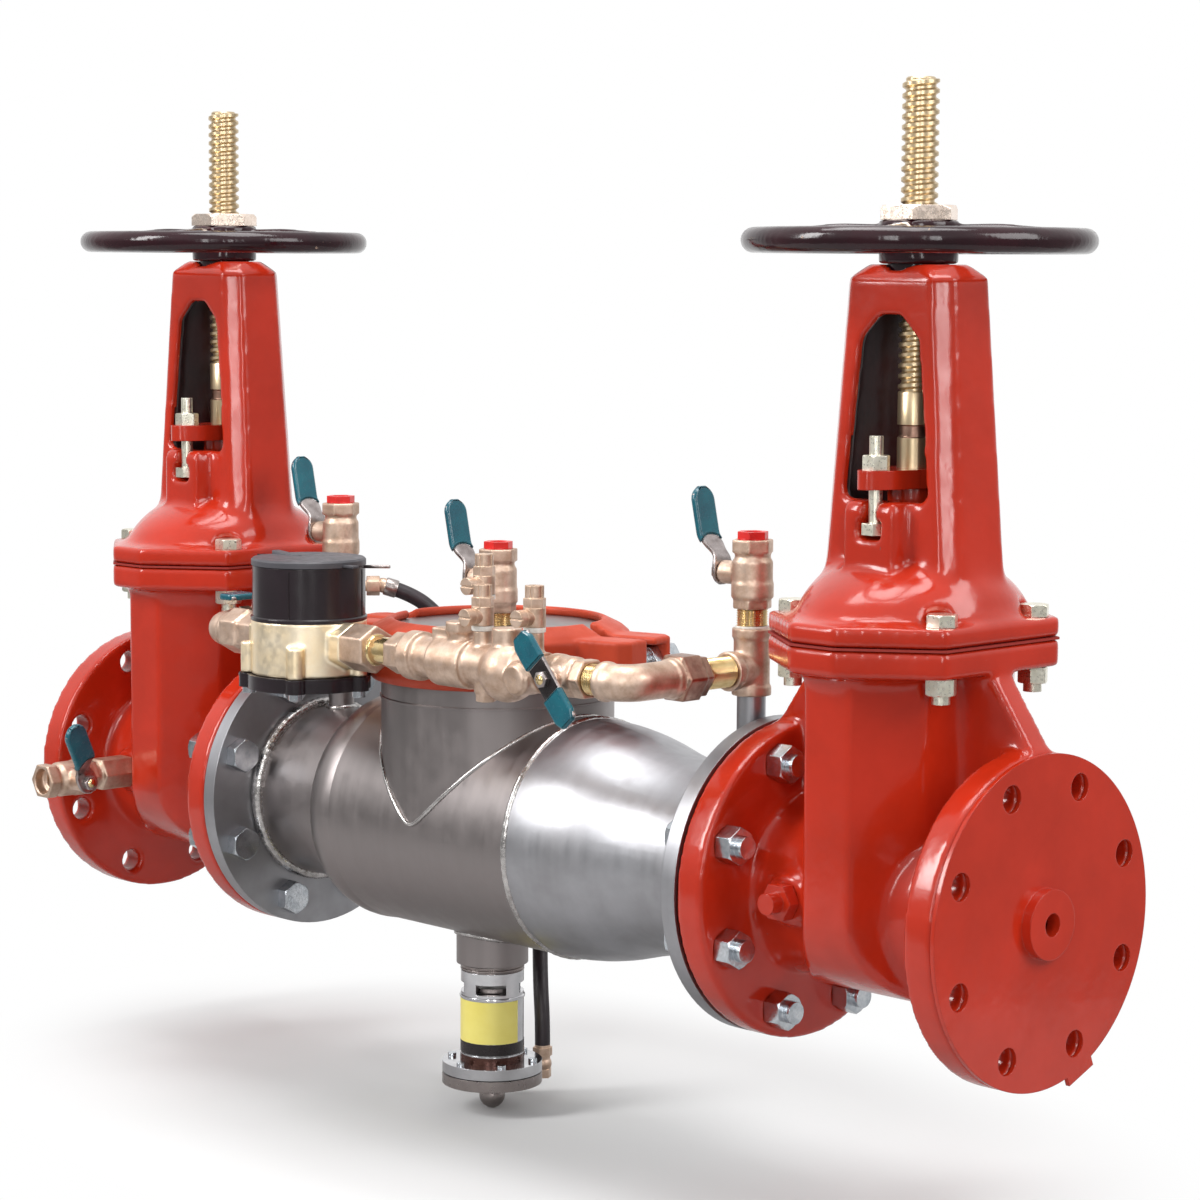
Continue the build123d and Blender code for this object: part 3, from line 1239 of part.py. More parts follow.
def hose_fittings():
    # A nipple and hex at the inlet stack, and a swivel elbow at the relief valve's cover.
    points = hose_route()
    start = points[0]
    lead = (points[1] - points[0]).normalized()
    stack, away = hose_port_axis()
    reach = (start - stack).length - 4
    upper = extrude(Plane(origin=stack + away * hose_port_start, z_dir=away) * Circle(hose_spigot_r),
                    reach - hose_port_start)
    upper += extrude(Plane(origin=stack + away * (reach - 14), z_dir=away) * RegularPolygon(8.5, 6), 12)
    upper += Plane(origin=start - lead * 6.5).location * Sphere(6)
    upper += extrude(Plane(origin=start - lead * 6.5, z_dir=lead) * Circle(5.8), 6.5)
    end = points[-1]
    port_z = relief_foot_z - relief_disc_t - diaphragm_t - relief_cover_t / 2
    lower = rod_z(6.2, port_z, end.Z, end.X, end.Y) + hex_z(14, end.Z - 9, end.Z - 2, end.X, end.Y)
    lower += Pos(end.X, end.Y, port_z) * Sphere(7.4)
    lower += rod_y(relief_spigot_r, relief_disc_r - 2.5, end.Y, end.X, port_z)
    lower += hex_z(12.5, port_z - 11, port_z - 4, end.X, end.Y)
    return [upper, lower]


def gate_valve(axis_x, side):
    place = Pos(axis_x, 0, 0)
    return {
        side + "_valve_body": place * valve_body(),
        side + "_bonnet": place * bonnet(),
        side + "_stem": place * stem(),
        side + "_wedge": place * wedge(),
        side + "_handwheel": place * handwheel(),
        side + "_yoke_nut": place * yoke_nut(),
        side + "_wheel_nut": place * wheel_nut(),
    }


def on_both_valves(make):
    pieces = []
    for axis_x in (inlet_axis_x, outlet_axis_x):
        made = make()
        made = made if isinstance(made, list) else [made]
        pieces += [Pos(axis_x, 0, 0) * piece for piece in made]
    return pieces


def all_nodes():
    cx = centre_x
    nodes = gate_valve(inlet_axis_x, "inlet")
    nodes.update(gate_valve(outlet_axis_x, "outlet"))
    nodes["bonnet_bolts"] = bonnet_bolts(inlet_axis_x) + bonnet_bolts(outlet_axis_x)
    nodes["gland_followers"] = on_both_valves(gland_follower)
    nodes["gland_bolts"] = on_both_valves(gland_bolts)
    nodes["stem_packing"] = on_both_valves(stem_packing)
    nodes["body_side_plug"] = side_plug()
    nodes["outlet_blanking_plate"] = blanking_plate()
    nodes["main_case"] = main_case()
    nodes["access_cover"] = access_cover()
    nodes["coupling_half_front"] = coupling_half(-1)
    nodes["coupling_half_rear"] = coupling_half(1)
    nodes["coupling_bolts"] = coupling_bolts()
    nodes["gaskets"] = gaskets()
    inlet_joint = valve_face_to_face
    nodes["flange_bolts"] = (flange_bolts(case_start_x + case_flange_t, inlet_joint - valve_flange_t, -1)
                             + flange_bolts(case_end_x - case_flange_t,
                                            case_end_x + gasket_t + valve_flange_t, 1))
    nodes["first_check_seat"] = check_seat(cx + first_seat_x)
    nodes["first_check_clapper"] = clapper(cx + first_seat_x)
    nodes["second_check_seat"] = check_seat(cx + second_seat_x)
    nodes["second_check_clapper"] = clapper(cx + second_seat_x)
    nodes["check_springs"] = check_springs()
    nodes["relief_valve_body"] = relief_valve_body()
    nodes["relief_diaphragm"] = relief_diaphragm()
    nodes["relief_cover"] = relief_cover()
    nodes["relief_plunger"] = relief_plunger()
    nodes["relief_spring"] = relief_spring()
    nodes["sensing_hose"] = sensing_hose()
    nodes["hose_fittings"] = hose_fittings()
    nodes["bypass_pipework"] = bypass_pipework() + [inlet_cock_nipple()] + meter_couplings()
    nodes["meter_body"] = meter_body()
    nodes["meter_bottom_plate"] = meter_bottom_plate()
    nodes["meter_register"] = meter_register()
    nodes["meter_lid"] = meter_lid()
    nodes["meter_pointer"] = meter_pointer()
    nodes["small_screws"] = small_screws()
    nodes["bypass_check_body"] = bypass_check_body()
    nodes["small_cock_bodies"] = small_cock_bodies()
    for k, place in enumerate(("first", "second", "third")):
        nodes[place + "_small_cock_stem"] = small_cock_stem(k)
    nodes["test_cock_bodies"] = valve_bodies("cock")
    nodes["shutoff_bodies"] = valve_bodies("shutoff")
    for name in valve_places():
        nodes[name + "_handle"] = valve_handle(name)
    nodes["outlet_plugs"] = outlet_plugs()
    return nodes


for node_name, shape in all_nodes().items():
    solids = shape if isinstance(shape, list) else [shape]
    solids = [solid for piece in solids for solid in piece.solids()]
    whole = solids[0] if len(solids) == 1 else Compound(children=solids)
    export_step(whole, "parts/" + node_name + ".step")
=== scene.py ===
import bisect
import json
import math

import bmesh
import bpy
import numpy as np
from mathutils import Matrix, Vector


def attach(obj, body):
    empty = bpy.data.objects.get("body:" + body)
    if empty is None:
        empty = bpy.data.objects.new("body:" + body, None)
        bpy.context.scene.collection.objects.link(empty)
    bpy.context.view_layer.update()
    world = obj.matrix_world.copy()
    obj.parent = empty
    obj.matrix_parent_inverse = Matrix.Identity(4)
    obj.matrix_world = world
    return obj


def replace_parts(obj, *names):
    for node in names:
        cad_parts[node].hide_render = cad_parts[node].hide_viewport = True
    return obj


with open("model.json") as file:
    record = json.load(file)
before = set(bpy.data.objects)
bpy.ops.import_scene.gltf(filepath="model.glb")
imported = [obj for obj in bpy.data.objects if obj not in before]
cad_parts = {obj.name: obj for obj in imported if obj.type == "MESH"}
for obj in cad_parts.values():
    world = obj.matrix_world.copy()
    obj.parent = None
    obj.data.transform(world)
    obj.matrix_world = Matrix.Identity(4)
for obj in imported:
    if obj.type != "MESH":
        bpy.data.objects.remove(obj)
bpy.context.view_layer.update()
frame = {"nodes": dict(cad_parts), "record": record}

bl_info = {
    "name": "Reduced pressure detector assembly",
    "version": (1, 0, 0),
    "blender": (4, 5, 0),
    "location": "3D View > Sidebar > Backflow",
    "description": "Dresses the packed backflow assembly: castings, weldment, bypass line, hose, finishes and studio",
    "category": "Object",
}

# Each ball valve: origin, X direction, Z direction, length, stem reach and turn of its handle, as in the CAD source
HANDLES = {
    "inlet_valve_cock": ((62.3, -107, 0), (-1, 0, 0), (0, -1, 0), 50.0, 28.5, 60.0),
    "case_inlet_cock": ((267.8, 0, 190), (1, 0, 0), (0, 0, 1), 50.0, 28.5, 0.0),
    "cover_cock": ((459.8, 0, 165), (1, 0, 0), (0, 0, 1), 50.0, 28.5, 0.0),
    "case_outlet_cock": ((730.8, 0, 190), (1, 0, 0), (0, 0, 1), 50.0, 28.5, 0.0),
    "bypass_inlet_shutoff": ((267.8, -59.5, 146), (0, 0, -1), (0, -1, 0), 46.0, 21.0, 0.0),
    "bypass_outlet_shutoff": ((650.8, -128, 146), (0, 1, 0), (1, 0, 0), 46.0, 21.0, 49.0),
}

# Sizes are written in millimetres and multiplied by MM, because the frame is in metres.
MM = 0.001
NODES = frame["nodes"]
BODY_OF = {node: body for body, nodes in frame["record"]["behaviour"]["bodies"].items() for node in nodes}

# Places that the CAD source fixes, in the frame's millimetres
INLET_AXIS = 114.3
OUTLET_AXIS = 881.3
CENTRE = 497.8
RISER = 459.8
RELIEF = 453.8
METER = 383.4
INLET_STACK = 267.8
OUTLET_STACK = 730.8
LINE_Y = -128.0
LINE_Z = 146.0
BOLT_CIRCLE_R = 95.25
FLOOR_Z = -233.0
VALVE_AXES = {"inlet": INLET_AXIS, "outlet": OUTLET_AXIS}
STACKS = (INLET_STACK, OUTLET_STACK)
STACK_TOP = 176.0
# Where the case's necks are welded to its flanges, and how far out their beads run
NECK_WELDS, NECK_R = (246.9, 748.7), 71.6
# Past this X everything on the bypass line belongs to the outlet stack
OUTLET_SIDE = 700.0
# Plain pipe of the bypass line is narrower than this
PIPE_WIDTH = 23.5
# A ball valve's handle turns about a stem that stands at this share of the valve's length
STEM_SHARE = 0.49
# Bolt holes: across a flange as (y, z) and across a bonnet as (x, y) from the valve's axis
FLANGE_BOLTS = [(BOLT_CIRCLE_R * math.cos(a), BOLT_CIRCLE_R * math.sin(a))
                for a in (math.radians(22.5 + 45 * k) for k in range(8))]
BONNET_BOLTS = [(x, y) for x in (-66, 66) for y in (-49, 49)]

# The sensing hose runs over the inlet, round the back and down to the relief valve; same points as the CAD source.
HOSE_ROUTE = [(-205, 30, 170), (-192, 45, 164), (-178, 61, 147), (-168, 77, 120), (-160, 92, 84), (-149, 106, 38),
              (-130, 112, -12), (-102, 103, -62), (-74, 80, -106), (-53, 61, -143), (-44, 55, -172),
              (-44, 55, -191)]


def linear(code):
    """Turns an sRGB hex colour into linear RGBA."""
    parts = [int(code[k:k + 2], 16) / 255 for k in (0, 2, 4)]
    return tuple(c / 12.92 if c <= 0.04045 else ((c + 0.055) / 1.055) ** 2.4 for c in parts) + (1.0,)


def per_mm(size):
    """The scale of a texture whose features are that many millimetres across, on Object coordinates in metres."""
    return 1.0 / (size * MM)


def add(owner, kind, sets=None, out=0):
    """Adds a shader node and returns one of its outputs.

    sets holds its settings and inputs: a socket among them is linked, and anything else is the value itself.
    """
    tree = owner.node_tree
    node = tree.nodes.new("ShaderNode" + kind)
    for key, value in (sets or {}).items():
        if key == "stops":
            ramp = node.color_ramp
            while len(ramp.elements) < len(value):
                ramp.elements.new(0.5)
            for element, (place, level) in zip(ramp.elements, value):
                element.position = place
                element.color = (level, level, level, 1)
        elif isinstance(value, bpy.types.NodeSocket):
            tree.links.new(value, node.inputs[key])
        elif isinstance(key, int) or key in node.inputs:
            node.inputs[key].default_value = value
        else:
            setattr(node, key, value)
    return node.outputs[out] if node.outputs else None


def new_material(name):
    mat = bpy.data.materials.new(name)
    mat.use_nodes = True
    mat.node_tree.nodes.clear()
    return mat


def look(tones, patch, rough, edge_radius, *bumps, metallic=0.0, sockets=None, **more):
    """What one finish is.

    tones: two colours that drift into each other over patch mm. rough: the range of roughness. edge_radius: mm to
    which sharp corners are eased. bumps: (grain size, depth) in mm. more may hold edge: (colour, share of the edge
    that shows it), chips: (size mm, threshold, colour), zone: (height mm above which it is another colour, colour),
    streak: (mm across X, mm along it) and tube: (X mm from, X mm to, colour between them).
    """
    return dict(tones=tones.split(), patch=patch, rough=rough, edge_radius=edge_radius, bumps=bumps,
                sockets={"Metallic": metallic, **(sockets or {})}, **more)


# A noise texture stays mostly between these values
NOISE_LOW, NOISE_HIGH = 0.35, 0.65
# How well the eased normal agrees with the face: next to an edge and on it
FLAT_LEAN, EDGE_LEAN = 0.985, 0.86
# A paint chip's soft rim, and how rough the bare metal in it is
CHIP_RIM, CHIP_ROUGH = 0.015, 0.6
# How far the brushing lines change the colour and the roughness
STREAK_DEPTH = 0.03

FINISHES = {
    # Alkyd enamel over sand-cast iron: deep gloss whose lights waver over the mould's lumps, few chips
    "gloss_red_enamel": look("BC2D17 AE2811", 60, (0.12, 0.22), 1.2, (16, 0.35), (3.5, 0.05),
        chips=(9, 0.76, "5A3A30"),
        sockets={"Coat Weight": 0.2, "Coat Roughness": 0.04, "Specular IOR Level": 0.4}),
    # Painted shade inside the yoke: the red enamel drawn dark and dull where the light hardly comes
    "yoke_hollow_enamel": look("30090B 1C0507", 40, (0.3, 0.45), 1.0, (9, 0.3)),
    # Powder coat on ductile iron: fine orange peel, nearly matt
    "coral_powder_coat": look("BC452B AC3D25", 50, (0.38, 0.5), 1.2, (1.6, 0.04), (12, 0.15), edge=("DC7452", 0.6),
        sockets={"Specular IOR Level": 0.22}),
    # Pickled stainless: satin grey, faint lines round the pipe, the tube a little browner than its ends
    "pickled_stainless": look("ADADB1 9C9B9E", 60, (0.34, 0.42), 0.8, (25, 0.06), metallic=1.0, streak=(7, 90),
        tube=(252.0, 565.8, "8F8887")),
    # Stainless, turned and polished: mirrors the room almost clearly
    "polished_stainless": look("D2D2D4 BDBDC0", 30, (0.08, 0.18), 0.5, (8, 0.01), metallic=1.0),
    # Stainless as the lathe leaves it: darker, with soft lights
    "turned_stainless": look("A39A97 8F8684", 20, (0.26, 0.38), 0.5, (1.0, 0.01), metallic=1.0),
    # Stainless weld metal as it froze: rippled, brighter than the pickled plate
    "weld_metal": look("C9C6C4 A39F9D", 6, (0.16, 0.3), 0.3, (1.5, 0.1), metallic=1.0),
    # Bright zinc plate on steel bolts: bluish, sharp lights, fine pits
    "bright_zinc_plate": look("D4D8DC B4BAC0", 8, (0.12, 0.26), 0.8, (2.5, 0.03), metallic=1.0),
    # Yellow zinc plate over steel: pale straw, softer lights
    "yellow_zinc_plate": look("F2EEDF E0DBC8", 8, (0.25, 0.4), 0.6, (2.5, 0.03), metallic=1.0),
    # Nitrile-bound gasket sheet: matt black, but the bonnets' are painted over with their valves
    "black_gasket_rubber": look("151413 1E1C1B", 20, (0.6, 0.75), 0.3, (1.0, 0.02), zone=(180.0, "8E1F14")),
    # Sand-cast bronze: pinkish brown, grainy, brighter where it is rubbed
    "cast_bronze": look("D5BDAB B69B87", 12, (0.4, 0.54), 0.8, (1.3, 0.07), (7, 0.15), metallic=1.0,
        edge=("E8CDB0", 0.8)),
    # Bronze rubbed bright by hands: nearly white with smooth lights
    "bright_bronze": look("FFEEE0 F4E0D0", 12, (0.2, 0.34), 0.8, (1.3, 0.03), metallic=1.0),
    # Bronze of the union nuts, tarnished in the store: brown, with rubbed corners
    "brown_bronze": look("A88877 8C6B5D", 10, (0.28, 0.42), 0.8, (1.3, 0.05), metallic=1.0, edge=("D8B89C", 0.6)),
    # Bead-blasted cast brass of the meter: pale gold, even, no clear lights
    "blasted_brass": look("FCEDD2 F4DFBA", 22, (0.34, 0.46), 1.0, (0.9, 0.03), (9, 0.1), metallic=1.0,
        edge=("F4E6CA", 0.5)),
    # Drawn and machined brass: yellow with narrow lights
    "yellow_brass": look("E4CC9A D2B57E", 10, (0.12, 0.24), 0.3, (2, 0.01), metallic=1.0),
    # Turned silicon bronze of the rising stems: pinkish white, bright along each thread
    "stem_bronze": look("FFDDCA EFC6AE", 9, (0.18, 0.32), 0.3, (1.5, 0.02), metallic=1.0),
    # Dipped enamel over cast iron: maroon black, glossy and lumpy, with tan chips
    "maroon_black_enamel": look("2E0F17 200B12", 40, (0.1, 0.2), 1.0, (14, 0.35), (3, 0.06),
        chips=(10, 0.72, "A08878"),
        sockets={"Coat Weight": 0.1, "Coat Roughness": 0.03, "Specular IOR Level": 0.35}),
    # Braided graphite packing: dark grey with a dull shine
    "graphite_packing": look("2A2A2C 202022", 6, (0.4, 0.55), 0.3, (1, 0.05)),
    # Drawn spring steel: plain grey, smooth
    "spring_steel": look("A9ABB0 8E9095", 8, (0.25, 0.35), 0.2, (1, 0.01), metallic=1.0),
    # Glass-filled nylon, moulded: smooth black with a slightly uneven gloss
    "black_nylon": look("241A1F 1C1418", 30, (0.2, 0.26), 0.8, (20, 0.08)),
    # The same nylon from a grained mould: grey and nearly matt
    "grey_nylon": look("4A484D 403F44", 25, (0.42, 0.55), 0.8, (0.7, 0.02)),
    # Moulded low-density polyethylene: waxy red that glows a little
    "red_polyethylene": look("DE2A26 CC2320", 12, (0.3, 0.4), 0.8, (6, 0.05),
        sockets={"Subsurface Weight": 0.08, "Subsurface Scale": 0.002}),
    # Steel dipped in vinyl: deep teal with a soft, wet shine
    "teal_vinyl": look("05616F 045060", 14, (0.18, 0.3), 1.0, (5, 0.05),
        sockets={"Coat Weight": 0.25, "Coat Roughness": 0.1}),
    # Zinc-plated steel strap as it was rolled: warm grey, no clear lights
    "zinc_strap": look("B9B0AE 8F8583", 9, (0.26, 0.4), 0.5, (1.5, 0.02), metallic=1.0),
    # EPDM rubber cured in a cloth wrap: black, matt, fine-grained
    "hose_rubber": look("1D151A 2A1F25", 10, (0.4, 0.55), 0.2, (1.1, 0.04)),
    # Thread sealant as it was squeezed out: matt white lumps
    "white_sealant": look("EDEBE6 DDD9D0", 3, (0.5, 0.65), 0.5, (1.5, 0.2)),
    # Polyester film with a matt coat: flat yellow
    "yellow_film": look("F0E27C EBDB6E", 30, (0.3, 0.38), 0.2, (9, 0.02)),
    # The same film in black, a little glossier
    "black_film": look("1C1214 160F10", 30, (0.22, 0.3), 0.2, (9, 0.02)),
    # Anodised aluminium of the relief valve's base band: metallic under a clear skin; its dark brown is partly its
    # own tint and partly painted reflection
    "brown_anodised": look("5A3B32 482D27", 20, (0.2, 0.32), 0.3, (2, 0.02), metallic=0.7),
}


def finish(name):
    """Makes the procedural material of one finish, once."""
    if name in bpy.data.materials:
        return bpy.data.materials[name]
    spec = FINISHES[name]
    mat = new_material(name)
    place = add(mat, "TexCoord", out="Object")
    patch = add(mat, "TexNoise", {"Scale": per_mm(spec["patch"]), "Detail": 4.0, "Roughness": 0.6, "Vector": place})
    drift = add(mat, "ValToRGB", {"stops": ((NOISE_LOW, 0.0), (NOISE_HIGH, 1.0)), "Fac": patch})
    first, second = map(linear, spec["tones"])
    colour = add(mat, "Mix", {"data_type": "RGBA", 0: drift, 6: first, 7: second}, 2)
    grime = add(mat, "TexNoise", {"Scale": per_mm(spec["patch"] / 4), "Detail": 5.0, "Vector": place})
    low, high = spec["rough"]
    rough = add(mat, "MapRange", {"Value": grime, 1: NOISE_LOW, 2: NOISE_HIGH, 3: low, 4: high})
    normal = add(mat, "Bevel", {"samples": 4, "Radius": spec["edge_radius"] * MM})

    # Colours that lie over the first one: where each shows, from 0 to 1, and what it is
    covers = []
    if "zone" in spec:
        level, shade = spec["zone"]
        height = add(mat, "SeparateXYZ", {0: place}, "Z")
        covers.append((add(mat, "Math", {"operation": "GREATER_THAN", 0: height, 1: level * MM}), shade))
    if "tube" in spec:
        start, end, shade = spec["tube"]
        along = add(mat, "SeparateXYZ", {0: place}, "X")
        after = add(mat, "Math", {"operation": "GREATER_THAN", 0: along, 1: start * MM})
        before = add(mat, "Math", {"operation": "LESS_THAN", 0: along, 1: end * MM})
        covers.append((add(mat, "Math", {"operation": "MULTIPLY", 0: before, 1: after}), shade))
    if "edge" in spec:
        shade, share = spec["edge"]
        facing = add(mat, "NewGeometry", out="Normal")
        lean = add(mat, "VectorMath", {"operation": "DOT_PRODUCT", 0: normal, 1: facing}, "Value")
        covers.append((add(mat, "MapRange", {"Value": lean, 1: FLAT_LEAN, 2: EDGE_LEAN, 3: 0.0, 4: share}), shade))
    if "chips" in spec:
        size, level, shade = spec["chips"]
        spots = add(mat, "TexNoise", {"Scale": per_mm(size), "Detail": 3.0, "Roughness": 0.7, "Vector": place})
        bare = add(mat, "MapRange", {"Value": spots, 1: level, 2: level + CHIP_RIM})
        covers.append((bare, shade))
        rough = add(mat, "Mix", {0: bare, 2: rough, 3: CHIP_ROUGH})
    for share, shade in covers:
        colour = add(mat, "Mix", {"data_type": "RGBA", 0: share, 6: colour, 7: linear(shade)}, 2)
    if "streak" in spec:
        across, along = map(per_mm, spec["streak"])
        stretched = add(mat, "Mapping", {"Scale": (across, along, along), "Vector": place})
        lines = add(mat, "TexNoise", {"Scale": 1.0, "Detail": 3.0, "Vector": stretched})
        shift = add(mat, "MapRange", {"Value": lines, 1: 0.3, 2: 0.7, 3: -STREAK_DEPTH, 4: STREAK_DEPTH})
        rough = add(mat, "Math", {"operation": "ADD", 0: rough, 1: shift})
        veil = add(mat, "Math", {"operation": "ADD", 0: shift, 1: 1.0})
        colour = add(mat, "Mix", {"data_type": "RGBA", "blend_type": "MULTIPLY", 0: 1.0, 6: colour, 7: veil}, 2)
    for size, depth in spec["bumps"]:
        grain = add(mat, "TexNoise", {"Scale": per_mm(size), "Detail": 2.0, "Vector": place})
        normal = add(mat, "Bump", {"Strength": 1.0, "Distance": depth * MM, "Height": grain, "Normal": normal})
    shader = add(mat, "BsdfPrincipled", {**spec["sockets"], "Base Color": colour, "Roughness": rough,
                                         "Normal": normal})
    add(mat, "OutputMaterial", {"Surface": shader})
    return mat


# Which CAD nodes take each finish when they are shown themselves
NODE_FINISH = {
    "gloss_red_enamel": "inlet_valve_body outlet_valve_body inlet_bonnet outlet_bonnet outlet_blanking_plate "
        "gland_followers body_side_plug",
    "coral_powder_coat": "coupling_half_front coupling_half_rear",
    "pickled_stainless": "main_case access_cover",
    "polished_stainless": "relief_valve_body",
    "turned_stainless": "relief_cover relief_plunger first_check_seat second_check_seat first_check_clapper "
        "second_check_clapper",
    "bright_zinc_plate": "flange_bolts coupling_bolts small_screws",
    "yellow_zinc_plate": "bonnet_bolts gland_bolts",
    "black_gasket_rubber": "gaskets relief_diaphragm",
    "cast_bronze": "bypass_pipework bypass_check_body small_cock_bodies test_cock_bodies shutoff_bodies "
        "first_small_cock_stem second_small_cock_stem third_small_cock_stem inlet_wedge outlet_wedge hose_fittings",
    "bright_bronze": "inlet_wheel_nut outlet_wheel_nut",
    "blasted_brass": "meter_body",
    "stem_bronze": "inlet_stem outlet_stem",
    "maroon_black_enamel": "inlet_handwheel outlet_handwheel inlet_yoke_nut outlet_yoke_nut",
    "graphite_packing": "stem_packing",
    "spring_steel": "check_springs relief_spring",
    "hose_rubber": "sensing_hose",
    "black_nylon": "meter_register meter_bottom_plate",
    "grey_nylon": "meter_lid",
    "red_polyethylene": "outlet_plugs meter_pointer",
    "teal_vinyl": "inlet_valve_cock_handle case_inlet_cock_handle cover_cock_handle case_outlet_cock_handle "
        "bypass_inlet_shutoff_handle bypass_outlet_shutoff_handle",
}


def welded_copy(name):
    """A bmesh of a CAD node whose loose triangles are joined into closed shells."""
    mesh = bmesh.new()
    mesh.from_mesh(NODES[name].data)
    bmesh.ops.remove_doubles(mesh, verts=mesh.verts, dist=1e-6)
    return mesh


def link_piece(name, data, finishes, body):
    """Puts a finished mesh into the scene as a named piece that rides on a CAD body."""
    obj = bpy.data.objects.new(name, data)
    bpy.context.scene.collection.objects.link(obj)
    for one in [finishes] if isinstance(finishes, str) else finishes:
        data.materials.append(finish(one))
    data.polygons.foreach_set("use_smooth", [True] * len(data.polygons))
    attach(obj, body)
    return obj


def add_piece(name, mesh, finishes, body, sharp=35):
    """Does the same with a bmesh, whose edges stay sharp past that many degrees, or not at all where it is None."""
    data = bpy.data.meshes.new(name)
    mesh.to_mesh(data)
    mesh.free()
    obj = link_piece(name, data, finishes, body)
    if sharp:
        data.set_sharp_from_angle(angle=math.radians(sharp))
    return obj


def voxel_skin(mesh, voxel):
    """The skin of a bmesh, made again as even quads so that corners can be eased."""
    data = bpy.data.meshes.new("skin")
    mesh.to_mesh(data)
    mesh.free()
    obj = bpy.data.objects.new("skin", data)
    bpy.context.scene.collection.objects.link(obj)
    remesh = obj.modifiers.new("even", "REMESH")
    remesh.mode = "VOXEL"
    remesh.voxel_size = voxel * MM
    remesh.adaptivity = 0.0
    graph = bpy.context.evaluated_depsgraph_get()
    skin = bpy.data.meshes.new_from_object(obj.evaluated_get(graph))
    bpy.data.objects.remove(obj)
    bpy.data.meshes.remove(data)
    return skin


def ease(data, fill_steps, round_steps, hold):
    """Grows fillets in the inner corners, then eases every edge, as a sand mould leaves them.

    hold takes the points in millimetres and says how far each may move while fillets grow, from 0 to 1.
    """
    fill_gain, round_gain, renew = 0.6, 0.5, 6
    count = len(data.vertices)
    co = np.empty(count * 3, np.float32)
    data.vertices.foreach_get("co", co)
    co = co.reshape(-1, 3)
    pairs = np.empty(len(data.edges) * 2, np.int32)
    data.edges.foreach_get("vertices", pairs)
    a, b = pairs.reshape(-1, 2).T
    degree = (np.bincount(a, minlength=count) + np.bincount(b, minlength=count)).astype(np.float32)
    free = hold(co / MM).astype(np.float32)[:, None]
    normal = np.empty(count * 3, np.float32)
    for step in range(fill_steps + round_steps):
        if step % renew == 0 and step < fill_steps:
            data.vertices.foreach_set("co", co.ravel())
            data.update()
            data.vertices.foreach_get("normal", normal)
            out = normal.reshape(-1, 3)
        mean = np.stack([np.bincount(a, co[b, k], count) + np.bincount(b, co[a, k], count) for k in range(3)], 1)
        pull = (mean / degree[:, None] - co).astype(np.float32)
        if step < fill_steps:
            rise = np.maximum((pull * out).sum(1, keepdims=True), 0)
            co += out * rise * fill_gain * free
        else:
            co += pull * round_gain
    data.vertices.foreach_set("co", co.ravel())
    data.update()


def close_to(a, b, places, reach):
    """Marks the points (a, b) that lie less than reach mm from one of the places."""
    return np.any([np.hypot(a - place_a, b - place_b) < reach for place_a, place_b in places], axis=0)


def valve_body_hold(axis_x):
    """Keeps a valve body's bore, room, flange faces, top and bolt holes as the CAD has them."""
    def hold(points):
        x, y, z = points[:, 0] - axis_x, points[:, 1], points[:, 2]
        bore = np.hypot(y, z) < 53
        room = (abs(x) < 32) & (abs(y) < 63.5) & (z > -64)
        flange_bolts = (abs(x) > 88) & close_to(y, z, FLANGE_BOLTS, 11.5)
        bonnet_bolts = (z > 150) & close_to(x, y, BONNET_BOLTS, 13)
        return ~(bore | room | flange_bolts | bonnet_bolts | (abs(x) > 113.5) | (z > 181))
    return hold


def bonnet_hold(axis_x):
    """Keeps a bonnet's stuffing box, gland bolt slots, room, foot and bolt holes as the CAD has them."""
    def hold(points):
        x, y, z = points[:, 0] - axis_x, points[:, 1], points[:, 2]
        shaft = np.hypot(x, y) < 28.5
        bolts = close_to(x, y, BONNET_BOLTS, 13.5)
        slots = (abs(x) < 14) & (abs(y) > 28) & (z > 248) & (z < 281)
        room = (abs(x) < 31) & (abs(y) < 63) & (z < 240)
        return ~(shaft | bolts | slots | room | (z < 186))
    return hold


def everywhere(points):
    """Lets every point move."""
    return np.ones(len(points))


def small_casting(node, finish_name, voxel, fill_steps):
    """Shows a CAD node with the filleted, eased skin of a small casting."""
    skin = voxel_skin(welded_copy(node), voxel)
    ease(skin, fill_steps, 2, everywhere)
    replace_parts(link_piece(node + "_casting", skin, finish_name, BODY_OF[node]), node)


def islands(name):
    """The separate shells of a CAD node, each as a bmesh of its own."""
    whole = welded_copy(name)
    group = {}
    count = 0
    for seed in whole.verts:
        if seed in group:
            continue
        group[seed] = count
        front = [seed]
        while front:
            for edge in front.pop().link_edges:
                for vert in edge.verts:
                    if vert not in group:
                        group[vert] = count
                        front.append(vert)
        count += 1
    whole.verts.index_update()
    label = [group[vert] for vert in whole.verts]
    shells = []
    for k in range(count):
        shell = whole.copy()
        bmesh.ops.delete(shell, geom=[v for v, mine in zip(shell.verts, label) if mine != k], context="VERTS")
        shells.append(shell)
    whole.free()
    return shells


def extent(shell):
    """The lowest and the highest corner of a bmesh's box, in millimetres."""
    places = np.array([v.co for v in shell.verts]) / MM
    return places.min(axis=0), places.max(axis=0)


def nearest(shells, x, y, z):
    """The shell whose centre is nearest to a place in millimetres."""
    return min(shells, key=lambda shell: np.linalg.norm(sum(extent(shell)) / 2 - (x, y, z)))


def face_centres(data):
    """The centres of a mesh's faces, in millimetres."""
    places = np.empty(len(data.polygons) * 3)
    data.polygons.foreach_get("center", places)
    return places.reshape(-1, 3) / MM


def join(target, part, index=0, place=None):
    """Puts one bmesh into another, as that material's faces."""
    if place is not None:
        bmesh.ops.transform(part, matrix=place, verts=part.verts)
    for face in part.faces:
        face.material_index = index
    data = bpy.data.meshes.new("part")
    part.to_mesh(data)
    part.free()
    target.from_mesh(data)
    bpy.data.meshes.remove(data)


